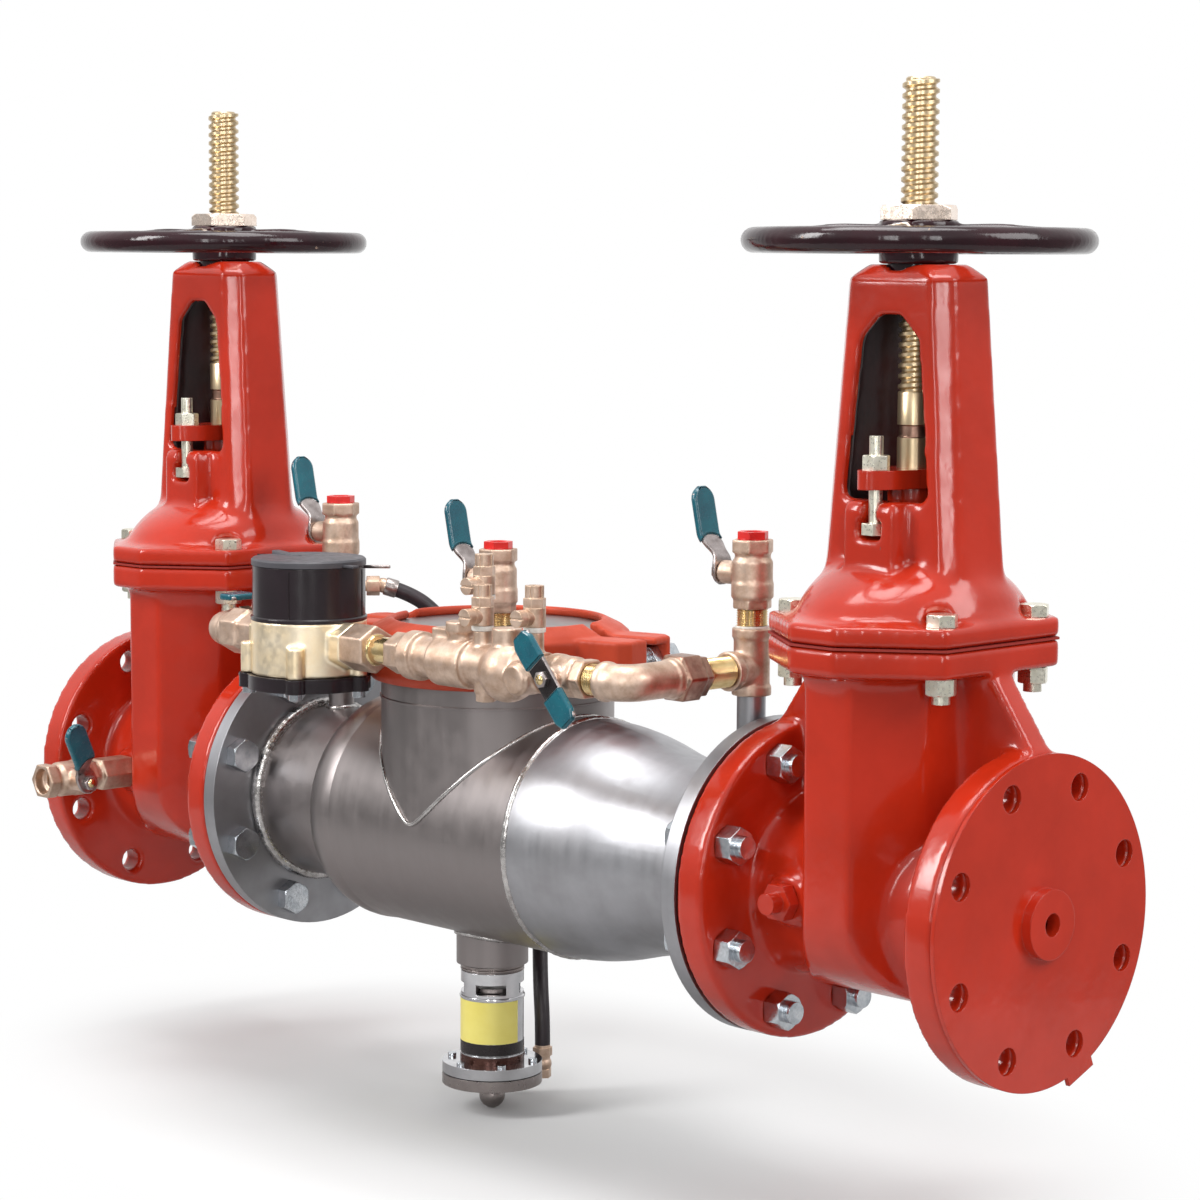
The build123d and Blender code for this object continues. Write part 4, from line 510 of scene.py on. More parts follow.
def placed(origin, axis):
    """Carries a shape drawn about Z to a place in millimetres, its Z along axis."""
    return Matrix.Translation(Vector(origin) * MM) @ Vector(axis).to_track_quat("Z", "Y").to_matrix().to_4x4()


def lathe(points, segments=64, angle=360.0):
    """Turns an outline of (radius, height) points in mm about Z; it is closed unless both ends are on the axis."""
    mesh = bmesh.new()
    ring = [mesh.verts.new((r * MM, 0, h * MM)) for r, h in points]
    pairs = list(zip(ring, ring[1:])) + ([] if points[0][0] == points[-1][0] == 0 else [(ring[-1], ring[0])])
    edges = [mesh.edges.new(pair) for pair in pairs]
    bmesh.ops.spin(mesh, geom=ring + edges, cent=(0, 0, 0), axis=(0, 0, 1), angle=math.radians(angle),
                   steps=segments, use_merge=angle == 360.0)
    bmesh.ops.remove_doubles(mesh, verts=mesh.verts, dist=1e-6)
    rims = [edge for edge in mesh.edges if edge.is_boundary]
    if rims:
        bmesh.ops.holes_fill(mesh, edges=rims)
    bmesh.ops.recalc_face_normals(mesh, faces=mesh.faces)
    return mesh


def thread(root, crest, pitch, low, high, steps=32):
    """A rod with a helical thread about Z, cut square and closed at both ends."""
    turns = math.ceil((high - low) / pitch) + 2
    mesh = bmesh.new()
    outline = ((crest, 0.0), (root, 0.22), (root, 0.45), (crest, 0.67), (crest, 1.0))
    chain = [mesh.verts.new((r * MM, 0, (low + (share - 1.0) * pitch) * MM)) for r, share in outline]
    edges = [mesh.edges.new(pair) for pair in zip(chain, chain[1:])]
    bmesh.ops.spin(mesh, geom=chain + edges, cent=(0, 0, 0), axis=(0, 0, 1), dvec=(0, 0, pitch * MM / steps),
                   angle=2 * math.pi * turns, steps=steps * turns, use_merge=False)
    bmesh.ops.remove_doubles(mesh, verts=mesh.verts, dist=1e-6)
    for z, way in ((low, -1), (high, 1)):
        bmesh.ops.bisect_plane(mesh, geom=mesh.verts[:] + mesh.edges[:] + mesh.faces[:], dist=1e-7,
                               plane_co=(0, 0, z * MM), plane_no=(0, 0, way), clear_outer=True)
        bmesh.ops.holes_fill(mesh, edges=[e for e in mesh.edges if e.is_boundary
                                          and all(abs(v.co.z - z * MM) < 1e-6 for v in e.verts)])
    bmesh.ops.recalc_face_normals(mesh, faces=mesh.faces)
    return mesh


def hexagon(af, height, chamfer=0.7):
    """A hexagonal prism on +Z with every edge broken."""
    mesh = bmesh.new()
    bmesh.ops.create_cone(mesh, cap_ends=True, cap_tris=False, segments=6, radius1=af / math.sqrt(3) * MM,
                          radius2=af / math.sqrt(3) * MM, depth=height * MM)
    bmesh.ops.translate(mesh, verts=mesh.verts, vec=(0, 0, height / 2 * MM))
    bmesh.ops.bevel(mesh, geom=mesh.edges[:], offset=chamfer * MM, segments=2, profile=0.5, affect="EDGES",
                    material=-1)
    return mesh


def strip(path, half, thickness, rows=40, columns=8, bevel=0.8, notch=0.0):
    """A plate bent along a path of (x, z) points in mm; half(s, total) is its half width s mm along it."""
    path = [Vector((x, 0, z)) for x, z in path]
    reach = [0.0]
    for a, b in zip(path, path[1:]):
        reach.append(reach[-1] + (b - a).length)
    mesh = bmesh.new()
    bmesh.ops.create_grid(mesh, x_segments=rows, y_segments=columns, size=1.0)
    for vert in mesh.verts:
        u, v = (vert.co.x + 1) / 2, vert.co.y
        s = u * reach[-1] + notch * (1 - v * v) * (1 - u) ** 4
        k = min(max(bisect.bisect_right(reach, s), 1), len(path) - 1)
        share = (s - reach[k - 1]) / (reach[k] - reach[k - 1])
        along = (path[k] - path[k - 1]).normalized()
        at = path[k - 1].lerp(path[k], share) + Vector((along.z, 0, -along.x)) * thickness / 2
        vert.co = Vector((at.x, v * half(s, reach[-1]), at.z)) * MM
    bmesh.ops.recalc_face_normals(mesh, faces=mesh.faces)
    if sum(face.normal.x * face.calc_area() for face in mesh.faces) < 0:
        bmesh.ops.reverse_faces(mesh, faces=mesh.faces)
    bmesh.ops.solidify(mesh, geom=mesh.faces[:], thickness=thickness * MM)
    bmesh.ops.recalc_face_normals(mesh, faces=mesh.faces)
    rims = [e for e in mesh.edges if e.is_manifold and e.calc_face_angle() > math.radians(50)]
    bmesh.ops.bevel(mesh, geom=rims, offset=bevel * MM, segments=2, profile=0.5, affect="EDGES", material=-1)
    return mesh


def bend(points, reach=4.0):
    """Rounds the corners of a path of (x, z) points, starting reach mm before each."""
    points = [Vector(p) for p in points]
    path = [points[0]]
    for a, b, c in zip(points, points[1:], points[2:]):
        start, end = b + (a - b).normalized() * reach, b + (c - b).normalized() * reach
        path += [start.lerp(b, t).lerp(b.lerp(end, t), t) for t in (0.0, 0.25, 0.5, 0.75, 1.0)]
    return path + [points[-1]]


def round_joint(centre_x, pipe_r, branch_r, side, count=150):
    """The closed line where an upright branch pipe meets the top (side 1) or underside (side -1) of the case."""
    line = []
    for k in range(count):
        angle = 2 * math.pi * k / count
        x, y = branch_r * math.cos(angle), branch_r * math.sin(angle)
        line.append((centre_x + x, y, side * math.sqrt(max(pipe_r ** 2 - y * y, 0))))
    return line


def ring_line(x, radius, count=220):
    """The closed line round a pipe on the X axis."""
    return [(x, radius * math.cos(2 * math.pi * k / count), radius * math.sin(2 * math.pi * k / count))
            for k in range(count)]


def handle_frame(name):
    """Carries a shape drawn on a ball valve's own axes to where its handle stands."""
    origin, x_dir, z_dir, length, _, turn = HANDLES[name]
    x, z, mid = Vector(x_dir), Vector(z_dir), length * STEM_SHARE * MM
    axes = Matrix((x, z.cross(x), z)).transposed().to_4x4()
    about = (Matrix.Translation((0, 0, mid)) @ Matrix.Rotation(math.radians(turn), 4, "X")
             @ Matrix.Translation((0, 0, -mid)))
    return Matrix.Translation(Vector(origin) * MM) @ axes @ about


class BACKFLOW_PG_handles(bpy.types.PropertyGroup):
    grip: bpy.props.FloatProperty(name="Grip", description="Thickness of the dipped grips of levers and wings",
                                  default=5.0 * MM, min=4 * MM, max=6 * MM, unit="LENGTH")
    panels: bpy.props.BoolProperty(name="Blank panels", description="Adds the plain panels on the wings",
                                   default=True)


class BACKFLOW_PG_threads(bpy.types.PropertyGroup):
    pitch: bpy.props.FloatProperty(name="Stem pitch", description="Pitch of the rising stems' thread",
                                   default=7 * MM, min=4 * MM, max=9 * MM, unit="LENGTH")


class BACKFLOW_PG_welds(bpy.types.PropertyGroup):
    wire: bpy.props.FloatProperty(name="Bead", description="Radius of the weld beads at the case's necks",
                                  default=5.2 * MM, min=4 * MM, max=6 * MM, unit="LENGTH")


class BACKFLOW_PG_bronze(bpy.types.PropertyGroup):
    voxel: bpy.props.FloatProperty(name="Bronze spacing", description="Spacing of the skin of the bronze castings",
                                   default=0.95 * MM, min=0.7 * MM, max=2 * MM, unit="LENGTH")


class BACKFLOW_PG_hose(bpy.types.PropertyGroup):
    diameter: bpy.props.FloatProperty(name="Diameter", description="Outside diameter of the sensing hose",
                                      default=12.5 * MM, min=8 * MM, max=16 * MM, unit="LENGTH")


class BACKFLOW_PG_castings(bpy.types.PropertyGroup):
    voxel: bpy.props.FloatProperty(name="Skin spacing", description="Spacing of the castings' even skin",
                                   default=2.3 * MM, min=1.5 * MM, max=5 * MM, unit="LENGTH")
    fillet: bpy.props.FloatProperty(name="Fillet", description="Radius of the fillets in the castings' inner corners",
                                    default=8 * MM, min=0.0, max=14 * MM, unit="LENGTH")


class BACKFLOW_PG_studio(bpy.types.PropertyGroup):
    floor_colour: bpy.props.FloatVectorProperty(name="Floor", description="Colour of the studio floor",
                                                subtype="COLOR", size=4, min=0, max=1,
                                                default=linear("D6D6D6"))
    floor_radius: bpy.props.FloatProperty(name="Floor radius", description="Radius of the studio floor",
                                          default=1.15, min=1.0, unit="LENGTH")
    key_power: bpy.props.FloatProperty(name="Key light", description="Power of the soft box at the upper left",
                                       default=36.0, min=0.0, unit="POWER")
    fill_power: bpy.props.FloatProperty(name="Side light", description="Power of the soft box at the right",
                                        default=26.0, min=0.0, unit="POWER")
    top_power: bpy.props.FloatProperty(name="Top light", description="Power of the wide soft box overhead",
                                       default=40.0, min=0.0, unit="POWER")
    front_power: bpy.props.FloatProperty(name="Front lights", description="Power of each narrow box by the camera",
                                         default=11.0, min=0.0, unit="POWER")
    room_strength: bpy.props.FloatProperty(name="Room light", description="Strength of the light of the room's walls",
                                           default=1.0, min=0.0)
    mirror_gain: bpy.props.FloatProperty(name="Mirrored room", description="How much brighter polished parts see it",
                                         default=2.6, min=1.0)


class BACKFLOW_OT_camera(bpy.types.Operator):
    """Puts the camera where the photograph was taken from"""
    bl_idname = "backflow.camera"
    bl_label = "Camera"

    def execute(self, context):
        place = (2.27302, -1.662587, 0.434992)
        azimuth, pitch, roll = (math.radians(v) for v in (45.625, 6.04, 0.299))
        ahead = Vector((-math.sin(azimuth) * math.cos(pitch), math.cos(azimuth) * math.cos(pitch), -math.sin(pitch)))
        level = Vector((math.cos(azimuth), math.sin(azimuth), 0))
        above = level.cross(ahead)
        right = level * math.cos(roll) + above * math.sin(roll)
        up = above * math.cos(roll) - level * math.sin(roll)
        camera = bpy.data.cameras.new("camera")
        camera.lens = 94.774
        camera.sensor_width = 36.0
        camera.clip_start, camera.clip_end = 0.1, 100.0
        obj = bpy.data.objects.new("camera", camera)
        turn = Matrix((right, up, -ahead)).transposed().to_4x4()
        obj.matrix_world = Matrix.Translation(place) @ turn
        context.scene.collection.objects.link(obj)
        context.scene.camera = obj
        return {"FINISHED"}


class BACKFLOW_OT_hose(bpy.types.Operator):
    """Lays the sensing hose on its route as one smooth tube"""
    bl_idname = "backflow.hose"
    bl_label = "Sensing hose"

    def execute(self, context):
        size = context.scene.backflow_hose
        curve = bpy.data.curves.new("hose", "CURVE")
        curve.dimensions = "3D"
        curve.resolution_u = 12
        curve.bevel_depth = size.diameter / 2
        curve.bevel_resolution = 5
        curve.use_fill_caps = True
        spline = curve.splines.new("NURBS")
        spline.points.add(len(HOSE_ROUTE) - 1)
        for point, (x, y, z) in zip(spline.points, HOSE_ROUTE):
            point.co = ((CENTRE + x) * MM, y * MM, z * MM, 1)
        spline.order_u = 3
        spline.use_endpoint_u = True
        hose = bpy.data.objects.new("sensing_hose_tube", curve)
        context.scene.collection.objects.link(hose)
        curve.materials.append(finish("hose_rubber"))
        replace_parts(hose, "sensing_hose")
        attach(hose, "assembly")
        # The nipple, hex, elbow and ferrule that hold the hose's upper end to the inlet stack
        places = [Vector((CENTRE + x, y, z)) for x, y, z in HOSE_ROUTE[:2]]
        lead = (places[1] - places[0]).normalized()
        stack, away = Vector((INLET_STACK, 0, 171)), Vector((0.64, 0.77, 0)).normalized()
        mesh = bmesh.new()
        join(mesh, lathe([(0, 12), (4.5, 12), (4.5, 36), (0, 36)], 32), 0, placed(stack, away))
        join(mesh, hexagon(14.5, 11), 0, placed(stack + away * 21, away))
        join(mesh, lathe([(0, -6.2), (3.6, -5.0), (5.6, -2.6), (6.2, 0), (6.2, 4), (0, 4)], 32), 0,
             placed(places[0] - lead * 5, lead))
        join(mesh, lathe([(6.0, -3), (7.0, -3), (7.5, -2), (7.5, 6.5), (7.0, 7.5), (6.0, 7.5)], 32), 1,
             placed(places[0], lead))
        add_piece("hose_upper_fitting", mesh, ["cast_bronze", "turned_stainless"], "assembly")
        return {"FINISHED"}


class BACKFLOW_OT_castings(bpy.types.Operator):
    """Gives the two gate valves the rounded skin of sand castings"""
    bl_idname = "backflow.castings"
    bl_label = "Valve castings"

    def execute(self, context):
        size = context.scene.backflow_castings
        voxel = size.voxel / MM
        # A fillet grows with the root of the steps, counted in voxels
        steps = round(4 * (size.fillet / size.voxel) ** 2)
        for side, axis_x in VALVE_AXES.items():
            for part, hold in (("valve_body", valve_body_hold(axis_x)), ("bonnet", bonnet_hold(axis_x))):
                node = side + "_" + part
                skin = voxel_skin(welded_copy(node), voxel)
                ease(skin, steps, 4, hold)
                cast = link_piece(node + "_casting", skin, ["gloss_red_enamel", "yoke_hollow_enamel"], "assembly")
                if part == "bonnet":
                    # The faces inside the yoke, which take the painted shade; the yoke's inside has cut corners and
                    # tapers upwards
                    x, y, z = abs(face_centres(skin) - (axis_x, 0, 0)).T
                    taper = (z - 200) / 228
                    hollow = ((x < 58 - 16.5 * taper) & (y < 30.5 - 5.5 * taper) & (x + y < 79 - 22 * taper)
                              & (z > 236) & (z < 417))
                    skin.polygons.foreach_set("material_index", hollow.astype(np.int32))
                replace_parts(cast, node)
        return {"FINISHED"}


class BACKFLOW_OT_wheels(bpy.types.Operator):
    """Rounds the handwheels and the pipe coupling, which are smaller castings"""
    bl_idname = "backflow.wheels"
    bl_label = "Handwheels and coupling"

    def execute(self, context):
        for node in ("inlet_handwheel", "outlet_handwheel"):
            small_casting(node, "maroon_black_enamel", voxel=1.7, fill_steps=14)
        for node in ("coupling_half_front", "coupling_half_rear"):
            small_casting(node, "coral_powder_coat", voxel=1.6, fill_steps=10)
        return {"FINISHED"}


class BACKFLOW_OT_stems(bpy.types.Operator):
    """Cuts the helical thread of the rising stems"""
    bl_idname = "backflow.stems"
    bl_label = "Rising stems"

    def execute(self, context):
        pitch = context.scene.backflow_threads.pitch / MM
        for side, axis_x in VALVE_AXES.items():
            mesh = bmesh.new()
            join(mesh, lathe([(0, 171), (15, 171), (15, 179), (12.7, 179), (12.7, 319.5), (11.5, 320.5),
                              (11.5, 327.5), (12.7, 328.5), (12.7, 350), (12, 351), (10.2, 351), (10.2, 352),
                              (0, 352)]))
            join(mesh, thread(10.3, 12.7, pitch, 351.0, 561.5))
            join(mesh, lathe([(0, 561), (10.2, 561), (10.2, 562), (9, 563), (0, 563)]))
            # The groove under the thread is tarnished
            for face in mesh.faces:
                if 319.5 < face.calc_center_median().z / MM < 328.5:
                    face.material_index = 1
            bmesh.ops.translate(mesh, verts=mesh.verts, vec=(axis_x * MM, 0, 0))
            stem = add_piece(side + "_threaded_stem", mesh, ["stem_bronze", "brown_bronze"], side + "_gate")
            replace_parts(stem, side + "_stem")
        return {"FINISHED"}


class BACKFLOW_OT_handles(bpy.types.Operator):
    """Makes the levers and the wing handles: steel straps with dipped grips, nuts and their stems"""
    bl_idname = "backflow.handles"
    bl_label = "Levers and wings"

    def execute(self, context):
        size = context.scene.backflow_handles
        strap_t, grip_t, panel_t = 3.0, size.grip / MM, 0.4
        for name, (_, _, _, length, reach, _) in HANDLES.items():
            node = name + "_handle"
            # The strap's inner face lies at about x0, and its stem at the height mid
            mid, x0 = length * STEM_SHARE, -reach - 0.3
            mesh = bmesh.new()
            if "shutoff" in name:
                strap_reach, strap_half_w, panel_reach, panel_half_w = 37, 9.0, 12.5, 8.4
                path = [(x0 - 1.8, mid - strap_reach), (x0 - 1.8, mid + strap_reach)]
                parts = [(strip(path, lambda s, total: strap_half_w, strap_t, rows=30), 0)]
                for end in (-1, 1):
                    def wing_half(s, total, end=end):
                        return 10.0 - max(0.0, (s if end > 0 else total - s) - (total - 7)) * 0.55
                    path = sorted((x0 - 2.7, mid + end * far) for far in (13, 26, 39))
                    parts.append((strip(path, wing_half, grip_t, rows=24, bevel=1.5), 1))
                if size.panels:
                    path = [(x0 - 3.2, mid - panel_reach), (x0 - 3.2, mid + panel_reach)]
                    panel = strip(path, lambda s, total: panel_half_w, panel_t, rows=6, columns=4, bevel=0.1)
                    parts.append((panel, 3))
            else:
                def strap_half(s, total):
                    root = math.sqrt(max(0.0, 9.5 ** 2 - (9.5 - min(s, 9.5)) ** 2))
                    waist = 9.5 - 2.2 * math.exp(-((s - 24) / 6) ** 2)
                    return max(2.5, min(root, waist))

                def grip_half(s, total):
                    tip = total - 10.5
                    return 10.5 if s < tip else max(4.0, math.sqrt(max(0.0, 10.5 ** 2 - (s - tip) ** 2)))
                path = bend([(x0 - 1.5, mid - 9.5), (x0 - 1.5, mid + 11), (x0 - 15.5, mid + 25),
                             (x0 - 22.5, mid + 56)])
                parts = [(strip(path, strap_half, strap_t, rows=56), 0)]
                path = bend([(x0 - 12, mid + 21.5), (x0 - 15.5, mid + 25), (x0 - 23.5, mid + 61)], 3.0)
                parts.append((strip(path, grip_half, grip_t, rows=44, bevel=1.6, notch=5.0), 1))
            for part, index in parts:
                join(mesh, part, index)
            join(mesh, hexagon(11, 4.3), 0, placed((x0 - 3, 0, mid), (-1, 0, 0)))
            bmesh.ops.transform(mesh, matrix=handle_frame(name), verts=mesh.verts)
            centre = handle_frame(name) @ Vector((-12 * MM, 0, mid * MM)) / MM
            join(mesh, nearest(islands(node), *centre), 2)
            handle = add_piece(node + "_dipped", mesh, ["zinc_strap", "teal_vinyl", "yellow_brass", "black_film"],
                               BODY_OF[node], sharp=40)
            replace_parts(handle, node)
        return {"FINISHED"}


class BACKFLOW_OT_bronze(bpy.types.Operator):
    """Gives the bronze fittings, ball valves and the bypass check valve the skin of small castings"""
    bl_idname = "backflow.bronze"
    bl_label = "Bronze castings"

    def execute(self, context):
        voxel = context.scene.backflow_bronze.voxel / MM
        for node, fill_steps in (("test_cock_bodies", 4), ("shutoff_bodies", 4), ("bypass_check_body", 8)):
            small_casting(node, "cast_bronze", voxel, fill_steps)
        small_casting("meter_body", "blasted_brass", voxel=1.15, fill_steps=5)
        # Nipples are plain pipe, so two of their three widths are the pipe's; everything else is wider and cast
        castings, nipples = bmesh.new(), bmesh.new()
        for shell in islands("bypass_pipework"):
            low, high = extent(shell)
            join(nipples if sorted(high - low)[1] < PIPE_WIDTH else castings, shell)
        skin = voxel_skin(castings, voxel)
        ease(skin, 5, 2, everywhere)
        fittings = link_piece("fittings_and_unions", skin, ["cast_bronze", "brown_bronze", "yellow_brass"],
                              "assembly")
        x, y, _ = face_centres(skin).T
        index = np.zeros(len(x), np.int32)
        # The union nut in front of the outlet stack, and the nut at the meter's outlet
        index[(x > OUTLET_SIDE) & (y > LINE_Y + 46) & (y < LINE_Y + 74)] = 1
        index[(y < LINE_Y + 20) & (x > 464.6) & (x < 487.0)] = 2
        skin.polygons.foreach_set("material_index", index)
        for face in nipples.faces:
            face.material_index = int(face.calc_center_median().x > OUTLET_SIDE * MM)
        pipes = add_piece("pipe_nipples", nipples, ["yellow_brass", "cast_bronze"], "assembly")
        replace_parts(fittings, "bypass_pipework")
        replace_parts(pipes, "bypass_pipework")
        return {"FINISHED"}


class BACKFLOW_OT_threads(bpy.types.Operator):
    """Adds the pipe threads that show at the nipples, with the sealant on them"""
    bl_idname = "backflow.threads"
    bl_label = "Pipe threads"

    def execute(self, context):
        mesh = bmesh.new()
        up, back = (0, 0, 1), (0, 1, 0)
        root, crest, pitch = 10.7, 11.3, 1.8
        # Each thread: where it starts in mm, its direction and its length
        for origin, axis, reach in (((INLET_STACK, 0, STACK_TOP), up, 14), ((OUTLET_STACK, 0, STACK_TOP), up, 14),
                                    ((RISER, 0, 155), up, 10), ((696.8, LINE_Y, LINE_Z), (1, 0, 0), 12),
                                    ((INLET_STACK, -59.5, LINE_Z), back, 34),
                                    ((OUTLET_STACK, -55, LINE_Z), back, 29)):
            join(mesh, thread(root, crest, pitch, 0, reach, 24), 0, placed(origin, axis))
        # Sealant under the check valve's small cocks and round the stacks' tops
        for place in ((582.8, LINE_Y, 171.5), (637.8, LINE_Y, 175), (560.3, -106, 191)):
            join(mesh, lathe([(7.4, -0.6), (8.1, -0.3), (8.3, 1.2), (8.1, 3.0), (7.4, 3.3)]), 1, placed(place, up))
        for x in STACKS:
            join(mesh, lathe([(10.8, -0.1), (12.4, 0), (12.2, 1.3), (10.8, 1.6)]), 1, placed((x, 0, STACK_TOP), up))
        add_piece("pipe_threads", mesh, ["yellow_brass", "white_sealant"], "assembly")
        return {"FINISHED"}


class BACKFLOW_OT_welds(bpy.types.Operator):
    """Lays the weld beads of the stainless case"""
    bl_idname = "backflow.welds"
    bl_label = "Weld beads"

    def execute(self, context):
        neck_wire = context.scene.backflow_welds.wire / MM
        seam_wire, riser_wire, socket_wire = 3.2, 1.9, 2.2
        tube_r, seam_r, neck_tube_r = 92.0, 90.6, 71.0
        riser_r, relief_socket_r, stack_r = 91.7, 28.5, 10.8
        # Each bead: its closed line and the radius of its wire
        beads = [(ring_line(x, NECK_R), neck_wire) for x in NECK_WELDS]
        beads += [(ring_line(CENTRE + 68, seam_r), seam_wire), (round_joint(RISER, tube_r, riser_r, 1), riser_wire),
                  (round_joint(RELIEF, tube_r + 0.5, relief_socket_r, -1, 70), socket_wire)]
        beads += [(round_joint(x, neck_tube_r, stack_r, 1, 40), socket_wire) for x in STACKS]
        curve = bpy.data.curves.new("weld_beads", "CURVE")
        curve.dimensions = "3D"
        curve.bevel_depth = MM
        curve.bevel_resolution = 3
        for line, wire in beads:
            spline = curve.splines.new("POLY")
            spline.points.add(len(line) - 1)
            spline.use_cyclic_u = True
            for k, (point, place) in enumerate(zip(spline.points, line)):
                point.co = (*(Vector(place) * MM), 1)
                point.radius = wire * (1 + 0.05 * math.sin(2.1 * k) + 0.04 * math.sin(0.37 * k))
        obj = bpy.data.objects.new("weld_beads", curve)
        context.scene.collection.objects.link(obj)
        curve.materials.append(finish("weld_metal"))
        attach(obj, "assembly")
        return {"FINISHED"}


class BACKFLOW_OT_relief(bpy.types.Operator):
    """Puts the rings and the blank labels on the relief valve"""
    bl_idname = "backflow.relief"
    bl_label = "Relief valve bands"

    def execute(self, context):
        mesh = bmesh.new()
        join(mesh, thread(24.3, 25.4, 2.6, -119.8, -114.2, 64), 4)
        join(mesh, lathe([(24.8, -142.2), (25.8, -141.8), (26.0, -140.4), (25.6, -139.6), (24.8, -139.2)], 96), 1)
        label = lathe([(24.9, -176), (25.3, -176), (25.3, -142.4), (24.9, -142.4)], 80, 300.0)
        join(mesh, label, 2, Matrix.Rotation(math.radians(70), 4, "Z"))
        join(mesh, lathe([(24.9, -185.4), (25.35, -185.4), (25.35, -176.2), (24.9, -176.2)], 96), 3)
        join(mesh, lathe([(24.9, -187.0), (25.7, -186.8), (25.7, -186.0), (24.9, -185.7)], 96), 1)
        # The base band, whose dark brown is partly painted reflection
        join(mesh, lathe([(24.9, -192.9), (25.5, -192.9), (25.4, -187.2), (24.9, -187.2)], 96), 0)
        bmesh.ops.translate(mesh, verts=mesh.verts, vec=(RELIEF * MM, 0, 0))
        add_piece("relief_valve_bands", mesh, ["brown_anodised", "polished_stainless", "yellow_film", "black_film",
                                               "turned_stainless"], "assembly")
        return {"FINISHED"}


class BACKFLOW_OT_meter(bpy.types.Operator):
    """Adds the ridge of the meter's lid and the mould lines of its register"""
    bl_idname = "backflow.meter"
    bl_label = "Meter details"

    def execute(self, context):
        mesh = bmesh.new()
        bmesh.ops.create_cube(mesh, size=1.0)
        bmesh.ops.scale(mesh, verts=mesh.verts, vec=(30 * MM, 7 * MM, 3 * MM))
        # The ridge falls and narrows towards its end
        for vert in mesh.verts:
            if vert.co.x > 0 and vert.co.z > 0:
                vert.co.z -= 2.4 * MM
                vert.co.y *= 0.6
        bmesh.ops.bevel(mesh, geom=mesh.edges[:], offset=0.5 * MM, segments=2, profile=0.5, affect="EDGES",
                        material=-1)
        bmesh.ops.translate(mesh, verts=mesh.verts, vec=((METER - 26) * MM, LINE_Y * MM, 212 * MM))
        add_piece("lid_ridge", mesh, "grey_nylon", "register_lid", sharp=None)
        pin = lathe([(0, 0), (1.3, 0), (1.3, 21), (0.9, 22), (0, 22)], 20)
        bmesh.ops.transform(pin, matrix=placed((METER + 29, LINE_Y + 29, 203.5), (0.7, 0.7, 0)), verts=pin.verts)
        add_piece("lid_pin", pin, "zinc_strap", "assembly", sharp=None)
        mesh = lathe([(43.5, 163.2), (45.0, 163.2), (45.0, 165.6), (44.2, 166.6), (43.5, 166.6)], 96)
        register_r, bar_size, bar_mid = 43.7, (0.8, 1.0, 36.0), 184.6
        for angle in (-150, -60, 30, 120):
            bar = bmesh.new()
            bmesh.ops.create_cube(bar, size=1.0)
            bmesh.ops.scale(bar, verts=bar.verts, vec=[side * MM for side in bar_size])
            turn = Matrix.Rotation(math.radians(angle), 4, "Z")
            join(mesh, bar, 0, turn @ Matrix.Translation((register_r * MM, 0, bar_mid * MM)))
        bmesh.ops.translate(mesh, verts=mesh.verts, vec=(METER * MM, LINE_Y * MM, 0))
        add_piece("register_mould_lines", mesh, "black_nylon", "assembly")
        return {"FINISHED"}


class BACKFLOW_OT_finishes(bpy.types.Operator):
    """Gives every CAD node that is shown its material"""
    bl_idname = "backflow.finishes"
    bl_label = "Finishes"

    def execute(self, context):
        for name, nodes in NODE_FINISH.items():
            for node in nodes.split():
                obj = NODES[node]
                if not obj.material_slots:
                    obj.data.materials.append(None)
                for slot in obj.material_slots:
                    slot.material = finish(name)
        left = set(NODES) - set(" ".join(NODE_FINISH.values()).split())
        if left:
            raise RuntimeError("no finish for %s" % left)
        return {"FINISHED"}


